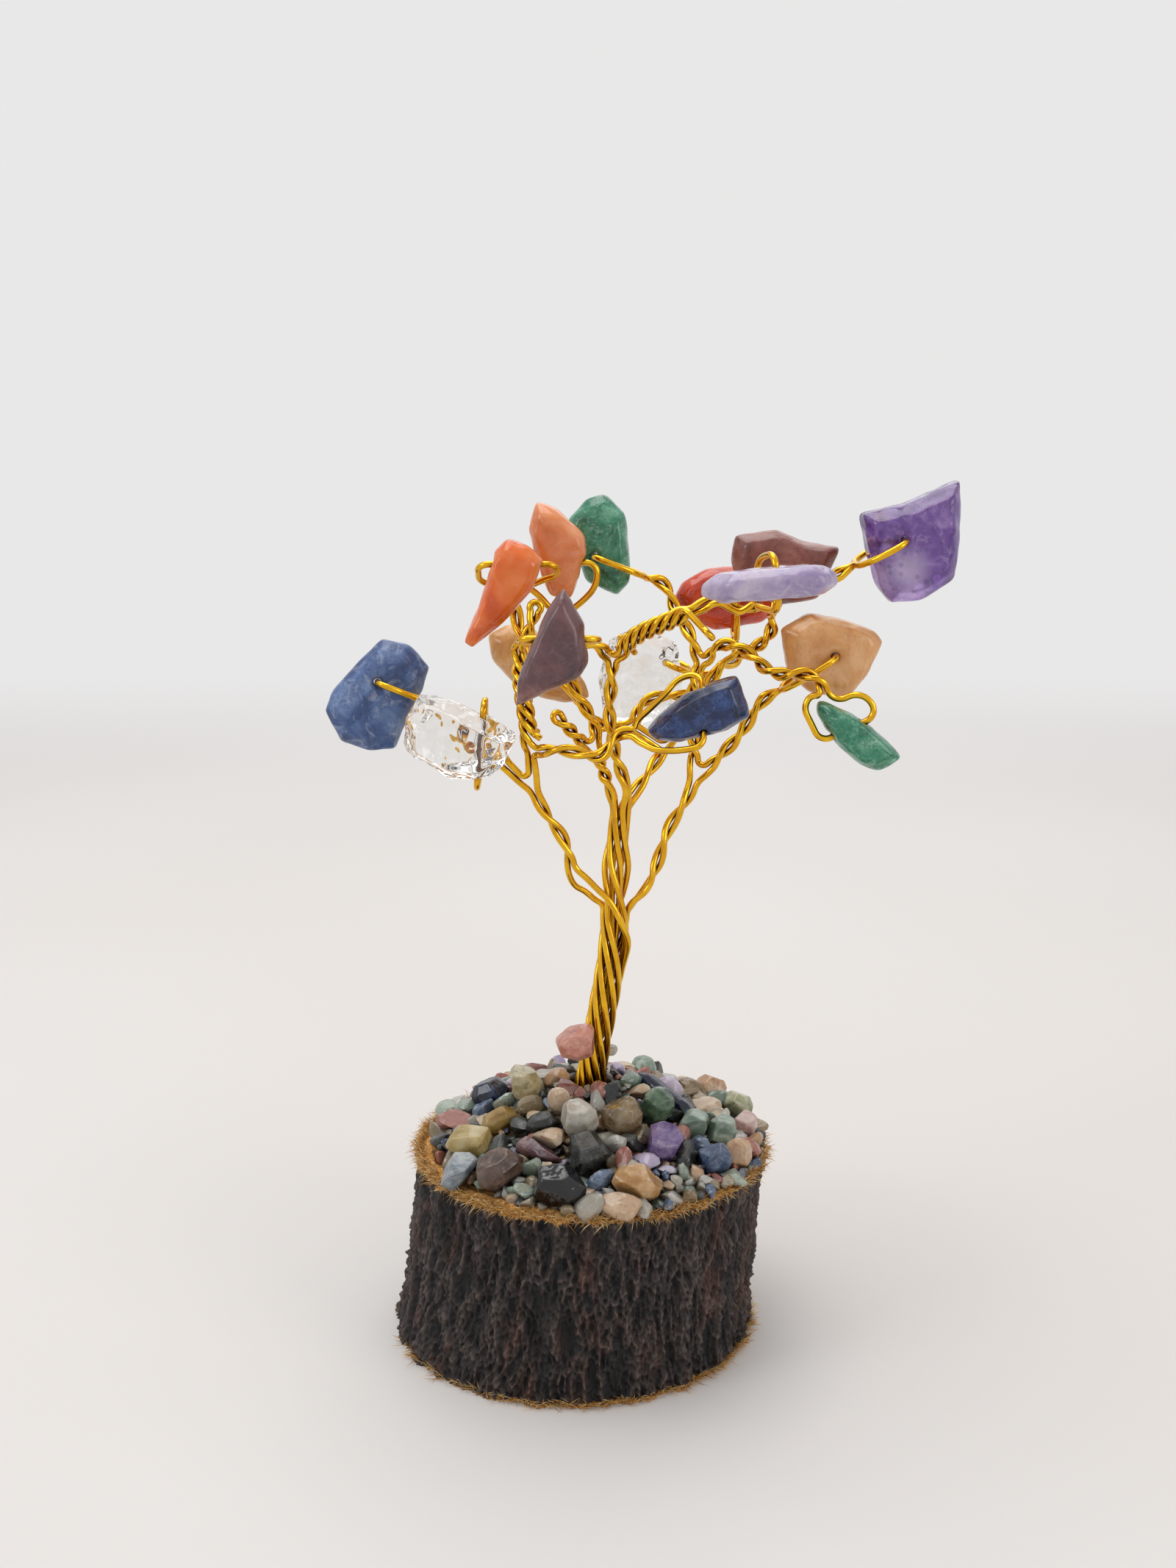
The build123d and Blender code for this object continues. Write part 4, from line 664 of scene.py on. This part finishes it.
def buildBark():
    node = frame["nodes"]["bark_sleeve"]
    tree = BVHTree.FromPolygons([v.co / mm for v in node.data.vertices],
                                [p.vertices for p in node.data.polygons])
    low, high = [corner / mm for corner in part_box("bark_sleeve")]
    top, foot = high.z, low.z
    highest, lowest = top - bark["edgeStep"], foot + bark["edgeStep"]
    vertices, heights, cuts = [], [], []
    rows = bark["up"] + bark["rimSteps"] + 2
    for column in range(bark["around"]):
        angle = 2 * math.pi * column / bark["around"]
        wayX, wayY = math.cos(angle), math.sin(angle)
        topRadius = cadRadius(tree, angle, highest)
        footRadius = cadRadius(tree, angle, lowest)
        torn = noise.noise((wayX * 4, wayY * 4, 1.5)) * 0.5 + noise.noise((wayX * 16, wayY * 16, 4.0)) * 0.3
        broad = bark["broadAmount"] * math.cos(angle - bark["broadSide"])
        lastWall = top - bark["rimFall"] * (1 + broad + 0.5 * torn)
        for step in range(bark["up"]):
            share = step / (bark["up"] - 1)
            z = foot + (lastWall - foot) * share
            height = barkHeight(wayX * bark["patternRadius"], wayY * bark["patternRadius"], z)
            radius = cadRadius(tree, angle, min(max(z, lowest), highest))
            radius += (height - bark["mean"]) * bark["depth"] - bark["sink"]
            vertices.append((radius * wayX * mm, radius * wayY * mm, z * mm))
            heights.append(height)
            nearTop = max(0, 1 - (top - z) / (bark["cutBand"] + broad + 0.4 * torn))
            nearFoot = max(0, 1 - (z - foot) / bark["footBand"]) * (0.55 + 0.45 * math.cos(angle + 0.8))
            cuts.append(max(nearTop, nearFoot) * 0.75)
        # the sawn edge rolls over to the top
        for step in range(1, bark["rimSteps"] + 1):
            share = step / bark["rimSteps"]
            ragged = noise.noise((wayX * 40, wayY * 40, share * 5)) * 0.10
            radius = topRadius - bark["rimStart"] - bark["rimWidth"] * share + ragged
            rise = (top - 0.02 - lastWall) * math.sin(share * math.pi / 2)
            z = lastWall + rise + ragged * 0.6 * (1 - share)
            vertices.append((radius * wayX * mm, radius * wayY * mm, min(z, top) * mm))
            heights.append(0.8)
            cuts.append(1.0)
        for z, radius in ((foot + 0.01, footRadius - 1.2), (foot, footRadius - 0.25)):
            vertices.append((radius * wayX * mm, radius * wayY * mm, z * mm))
            heights.append(0.6)
            cuts.append(1.0)
    faces = []
    for column in range(bark["around"]):
        here, there = column * rows, ((column + 1) % bark["around"]) * rows
        for row in range(rows):
            nextRow = (row + 1) % rows
            faces.append((here + row, there + row, there + nextRow, here + nextRow))
    piece = meshObject("bark_skin", vertices, faces, sawnBark())
    for label, values in (("barkHeight", heights), ("sawnCut", cuts)):
        piece.data.attributes.new(label, "FLOAT", "POINT").data.foreach_set("value", values)
    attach(piece, "tree")
    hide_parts("bark_sleeve")
    return tree, top, foot


barkTree, logTop, logFoot = buildBark()
wood = frame["nodes"]["wood_core"]
wood.data.materials.clear()
wood.data.materials.append(endGrain())
print("bark and wood finished")

burr = {
    "seed": 11, "length": (0.35, 1.2), "thick": (0.018, 0.045),  # mm
    "dark": "#A06A2A", "body": "#D39C4E", "pale": "#F3D39C",
    # a strand is left out where a draw from this span is above the local thickness
    "patchy": (-0.9, 0.6),
    "outward": (0.2, 1.0), "around": (-0.9, 0.9), "bend": (-0.3, 0.3),
    # for each edge: tries, mm below the top or above the foot, mm into the bark, rise and sag of
    # the strands, the thick side as its amount, direction in radians and mean, and its noise
    "rim_burr": {"tries": 8000, "band": (0.0, 0.55), "inside": (0.05, 0.85), "rise": (-0.3, 0.9),
                 "sag": (-0.4, 0.15), "thickSide": (0.35, 3.7, 0.0), "noiseRow": 9},
    "foot_burr": {"tries": 2400, "band": (0.12, 0.5), "inside": (0.05, 0.2), "rise": (-0.15, 0.5),
                  "sag": (0.0, 0.2), "thickSide": (0.9, -0.7, -0.15), "noiseRow": 2},
}


def tornFibre():
    # torn bast fibre: thin golden strands, dry and a little translucent
    material, tree = emptyMaterial("tornBastFibre")
    shade = addNode(tree, "NewGeometry")
    tone = addNode(tree, "ValToRGB", {"Fac": shade.outputs["Random Per Island"]},
                   stops=[(0.0, linearColour(burr["dark"])), (0.4, linearColour(burr["body"])),
                          (1.0, linearColour(burr["pale"]))])
    shader = addNode(tree, "BsdfPrincipled", {"Base Color": tone.outputs["Color"], "Roughness": 0.7,
                                              "Subsurface Weight": 0.2, "Subsurface Scale": 0.3 * mm})
    addNode(tree, "OutputMaterial", {"Surface": shader.outputs[0]})
    return material


def addFibre(vertices, faces, root, way, bend, length, thick):
    # one tapered three-sided strand with a bend in it
    side = way.orthogonal().normalized()
    other = way.cross(side)
    first = len(vertices)
    for share, width in ((0, 1.0), (0.55, 0.7)):
        centre = root + way * (length * share) + bend * (length * share * share)
        for turn in (0, 1, 2):
            angle = 2 * math.pi * turn / 3
            corner = side * math.cos(angle) + other * math.sin(angle)
            vertices.append((centre + corner * (thick * width)) * mm)
    vertices.append((root + way * length + bend * length) * mm)
    for turn in (0, 1, 2):
        after = (turn + 1) % 3
        faces.append((first + turn, first + after, first + 3 + after, first + 3 + turn))
        faces.append((first + 3 + turn, first + 3 + after, first + 6))
    faces.append((first + 2, first + 1, first))


def buildBurr():
    draw = random.Random(burr["seed"])
    for label in ("rim_burr", "foot_burr"):
        edge = burr[label]
        amount, side, mean = edge["thickSide"]
        vertices, faces = [], []
        for index in range(edge["tries"]):
            angle = draw.uniform(0, 2 * math.pi)
            thickness = noise.noise((math.cos(angle) * 3, math.sin(angle) * 3, edge["noiseRow"]))
            thickness = amount * math.cos(angle - side) + mean + thickness
            if draw.uniform(*burr["patchy"]) > thickness:
                continue
            outward = Vector((math.cos(angle), math.sin(angle), 0))
            offset = draw.uniform(*edge["band"])
            z = logTop - offset if label == "rim_burr" else logFoot + offset
            radius = cadRadius(barkTree, angle, min(z, logTop - bark["edgeStep"]))
            radius -= draw.uniform(*edge["inside"])
            root = outward * radius + Vector((0, 0, z))
            up = draw.uniform(*edge["rise"])
            around = Vector((-outward.y, outward.x, 0)) * draw.uniform(*burr["around"])
            way = (outward * draw.uniform(*burr["outward"]) + Vector((0, 0, up)) + around).normalized()
            bend = Vector((draw.uniform(*burr["bend"]), draw.uniform(*burr["bend"]),
                           draw.uniform(*edge["sag"])))
            length, thick = draw.uniform(*burr["length"]), draw.uniform(*burr["thick"])
            addFibre(vertices, faces, root, way, bend, length, thick)
        # no strand reaches below the floor
        vertices = [Vector((point.x, point.y, max(point.z, 0))) for point in vertices]
        piece = meshObject(label, vertices, faces, fibreMaterial)
        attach(piece, "tree")


fibreMaterial = tornFibre()
buildBurr()
print("burr finished")

# Glue and gravel

glue = {"colour": "#5C4B38", "deep": "#1E1610", "lump": 1.1, "lumpDepth": 0.25, "glowReach": 1.0}  # mm
glueShape = {"voxel": 0.22, "rounds": 10, "dent": 0.12, "dentSize": 1.6}  # mm


def clearGlue():
    # set hot glue with dust in it: wet gloss, dark and brownish where it is deep
    material, tree = emptyMaterial("setGlue")
    spot = addNode(tree, "TexCoord")
    dust = addNode(tree, "TexNoise", {"Vector": spot.outputs["Object"], "Scale": 1 / (glue["lump"] * mm),
                                      "Detail": 5.0})
    tone = addNode(tree, "ValToRGB", {"Fac": dust.outputs["Fac"]},
                   stops=[(0.35, linearColour(glue["deep"])), (0.7, linearColour(glue["colour"]))])
    lumps = addNode(tree, "Bump", {"Height": dust.outputs["Fac"], "Strength": 0.8,
                                   "Distance": glue["lumpDepth"] * mm})
    shader = addNode(tree, "BsdfPrincipled", {"Base Color": tone.outputs["Color"], "Roughness": 0.22,
                                              "IOR": 1.48, "Subsurface Weight": 0.3,
                                              "Subsurface Scale": glue["glowReach"] * mm,
                                              "Normal": lumps.outputs["Normal"]})
    addNode(tree, "OutputMaterial", {"Surface": shader.outputs[0]})
    return material


glueNode = frame["nodes"]["glue_bed"]
glueSkin = roundedCopy(glueNode, "glue_skin", clearGlue(), **glueShape)
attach(glueSkin, "tree")
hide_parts("glue_bed")
glueTree = BVHTree.FromPolygons([v.co / mm for v in glueNode.data.vertices],
                                [p.vertices for p in glueNode.data.polygons])

gravel = {
    "seed": 5,
    # mm: the mound's reach and edge, the room round the trunk, and the cells used to find neighbours
    "reach": 14.1, "edge": 13.9, "trunkClear": 2.3, "trunkX": 0.07, "cell": 2.8,
    "bareSide": 3.3, "bareWidth": 1.6,  # radians and mm, where the rim shows most
    # shape: flat faces and their distance as shares of the radius, how crisp their edges are, and
    # the stretch along each axis
    "flats": 8, "flatDistance": (0.42, 0.90), "crisp": 60, "blend": 0.3, "tilt": 0.6,
    "stretch": ((0.95, 1.5), (0.75, 1.1), (0.6, 0.9)),
    # shares of the radius: how high a crumb sits, and its room to the larger stones
    "knownSeat": 0.45, "knownRoom": 0.35, "seat": (0.25, 0.5), "room": 0.55, "trunkRoom": 0.4,
    # radius range in mm, tries, detail of the round mesh and how close neighbours may lie
    "passes": [((0.95, 1.45), 2400, 3, 0.66), ((0.60, 0.95), 7000, 3, 0.62), ((0.36, 0.60), 12000, 2, 0.60)],
    # the mineral of each group and how often it comes up
    "kinds": {
        "blue_crumbs": ("dumortierite", 7), "red_crumbs": ("redJasper", 13),
        "clear_crumbs": ("milkyQuartz", 15), "green_crumbs": ("paleGreen", 9),
        "peach_crumbs": ("cream", 15), "black_crumbs": ("tourmaline", 14),
        "amethyst_crumbs": ("paleAmethyst", 5), "yellow_crumbs": ("smokyQuartz", 16),
    },
    # crumbs that can be told apart: their pixel in the photo and radius in mm
    "known": [
        ("green", (713, 1619), 0.85), ("clear", (691, 1622), 0.75), ("yellow", (667, 1624), 0.70),
        ("amethyst", (815, 1631), 0.90), ("yellow", (771, 1652), 0.55), ("clear", (855, 1592), 1.2),
        ("yellow", (880, 1612), 1.1), ("green", (930, 1595), 0.85), ("green", (936, 1620), 0.70),
        ("yellow", (973, 1612), 0.70), ("clear", (960, 1604), 0.50), ("amethyst", (1038, 1592), 0.75),
        ("clear", (1022, 1582), 0.80), ("red", (850, 1582), 0.95), ("green", (806, 1549), 0.60),
        ("blue", (826, 1468), 0.60), ("clear", (808, 1486), 0.80), ("yellow", (839, 1482), 0.85),
        ("blue", (949, 1558), 1.0), ("blue", (966, 1580), 0.75), ("blue", (615, 1558), 0.90),
        ("red", (602, 1576), 0.75), ("black", (638, 1538), 0.90), ("green", (637, 1510), 1.25),
        ("peach", (654, 1486), 0.95), ("red", (1010, 1518), 1.05), ("peach", (942, 1468), 1.1),
        ("yellow", (1008, 1500), 0.70), ("green", (925, 1462), 0.80), ("clear", (878, 1606), 0.80),
        ("peach", (1024, 1556), 1.0), ("amethyst", (905, 1590), 0.75), ("clear", (918, 1606), 0.60),
    ],
    # one crumb sticks to the back of the trunk: its place and radius in mm
    "stuck": ("clear", (1.75, 0.85, 23.1), 0.65),
}


def roundBall(level):
    # the points and faces of a unit ball
    mesh = bmesh.new()
    bmesh.ops.create_icosphere(mesh, subdivisions=level, radius=1)
    points = [v.co.copy() for v in mesh.verts]
    faces = [tuple(v.index for v in f.verts) for f in mesh.faces]
    mesh.free()
    return points, faces


def crumbShape(draw, points, radius):
    # a broken, tumbled bit: a few flat faces at random distances, blended at their edges
    planes = []
    for index in range(gravel["flats"]):
        way = Vector((draw.gauss(0, 1), draw.gauss(0, 1), draw.gauss(0, 1))).normalized()
        planes.append((way, draw.uniform(*gravel["flatDistance"])))
    stretch = [draw.uniform(*span) for span in gravel["stretch"]]
    rotation = Matrix.Rotation(draw.uniform(0, 2 * math.pi), 3, "Z")
    rotation = rotation @ Matrix.Rotation(draw.gauss(0, gravel["tilt"]), 3, "Y")
    shaped = []
    for point in points:
        squeeze = sum(max(point.dot(way) / distance, 0) ** gravel["crisp"] for way, distance in planes)
        flat = point * (radius * (squeeze + gravel["blend"]) ** (-1 / gravel["crisp"]))
        shaped.append(rotation @ Vector([a * b for a, b in zip(flat, stretch)]))
    return shaped


def groundAt(x, y):
    hit = glueTree.ray_cast(Vector((x, y, 60)), Vector((0, 0, -1)))
    return hit[0].z if hit[0] else logTop


def clearOfStones(centre, room):
    # outside every larger stone, with that much room to the nearest
    spot, normal, index, gap = stoneTree.find_nearest(centre)
    return gap > room and (centre - spot).dot(normal) > 0


def cellsNear(centre):
    # the cells of a coarse grid in which a crumb's neighbours can lie
    column, row = int(centre.x // gravel["cell"]), int(centre.y // gravel["cell"])
    return [(column + i, row + j) for i in (-1, 0, 1) for j in (-1, 0, 1)]


def crumbPlace(pixel, radius):
    # where the camera's ray through a pixel of the photo meets the mound
    pitch = math.radians(camera["pitch"])
    across = (pixel[0] - photo["width"] / 2) / photo["focalPixels"]
    up = (photo["height"] / 2 - pixel[1]) / photo["focalPixels"]
    way = Vector((across, math.cos(pitch) + up * math.sin(pitch), up * math.cos(pitch) - math.sin(pitch)))
    eye = Vector((0, -camera["back"], camera["height"]))
    height = logTop + radius
    # a few steps settle on the sloping mound
    for step in range(6):
        centre = eye + way * ((height - eye.z) / way.z)
        height = groundAt(centre.x, centre.y) + radius * gravel["knownSeat"]
    # a ray that passes the mound's edge is brought back to it
    outward = Vector((centre.x, centre.y, 0))
    return centre - outward * max(0, 1 - gravel["edge"] / outward.length)


def buildGravel():
    draw = random.Random(gravel["seed"])
    balls = {level: roundBall(level) for level in (2, 3)}
    groups = {kind: ([], []) for kind in gravel["kinds"]}
    names = [kind for kind, (mineral, weight) in gravel["kinds"].items() for _ in range(weight)]
    placed = []
    grid = {}

    def addCrumb(kind, centre, radius, level):
        placed.append((centre, radius))
        grid.setdefault(cellsNear(centre)[4], []).append(placed[-1])
        points, faces = balls[level]
        vertices, polygons = groups[kind]
        first = len(vertices)
        vertices += [(centre + point) * mm for point in crumbShape(draw, points, radius)]
        polygons += [tuple(first + index for index in face) for face in faces]

    shade, place, radius = gravel["stuck"]
    addCrumb(shade + "_crumbs", Vector(place), radius, 3)
    for shade, pixel, radius in gravel["known"]:
        centre = crumbPlace(pixel, radius)
        if clearOfStones(centre, radius * gravel["knownRoom"]):
            addCrumb(shade + "_crumbs", centre, radius, 3)
    print("crumbs placed by hand:", len(placed))
    for (small, large), tries, level, packing in gravel["passes"]:
        for attempt in range(tries):
            radius = draw.uniform(small, large)
            angle = draw.uniform(0, 2 * math.pi)
            # the front left of the rim stays bare
            reach = gravel["reach"] - gravel["bareWidth"] * max(0, math.cos(angle - gravel["bareSide"]))
            distance = reach * math.sqrt(draw.random())
            x, y = gravel["trunkX"] + distance * math.cos(angle), distance * math.sin(angle)
            if distance < gravel["trunkClear"] + radius * gravel["trunkRoom"]:
                continue
            centre = Vector((x, y, groundAt(x, y) + radius * draw.uniform(*gravel["seat"])))
            near = [row for cell in cellsNear(centre) for row in grid.get(cell, ())]
            if any((centre - other).length < (radius + far) * packing for other, far in near):
                continue
            if not clearOfStones(centre, radius * gravel["room"]):
                continue
            addCrumb(draw.choice(names), centre, radius, level)
    for kind, (vertices, polygons) in groups.items():
        mineral = gravel["kinds"][kind][0]
        piece = meshObject(kind + "_gravel", vertices, polygons,
                           tumbledStone(mineral + "Gravel", minerals[mineral], islandTint=True, dustAndGapShade=True),
                           smooth=False)
        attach(piece, "tree")
        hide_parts(kind)
    print("gravel finished:", len(placed), "crumbs")


buildGravel()
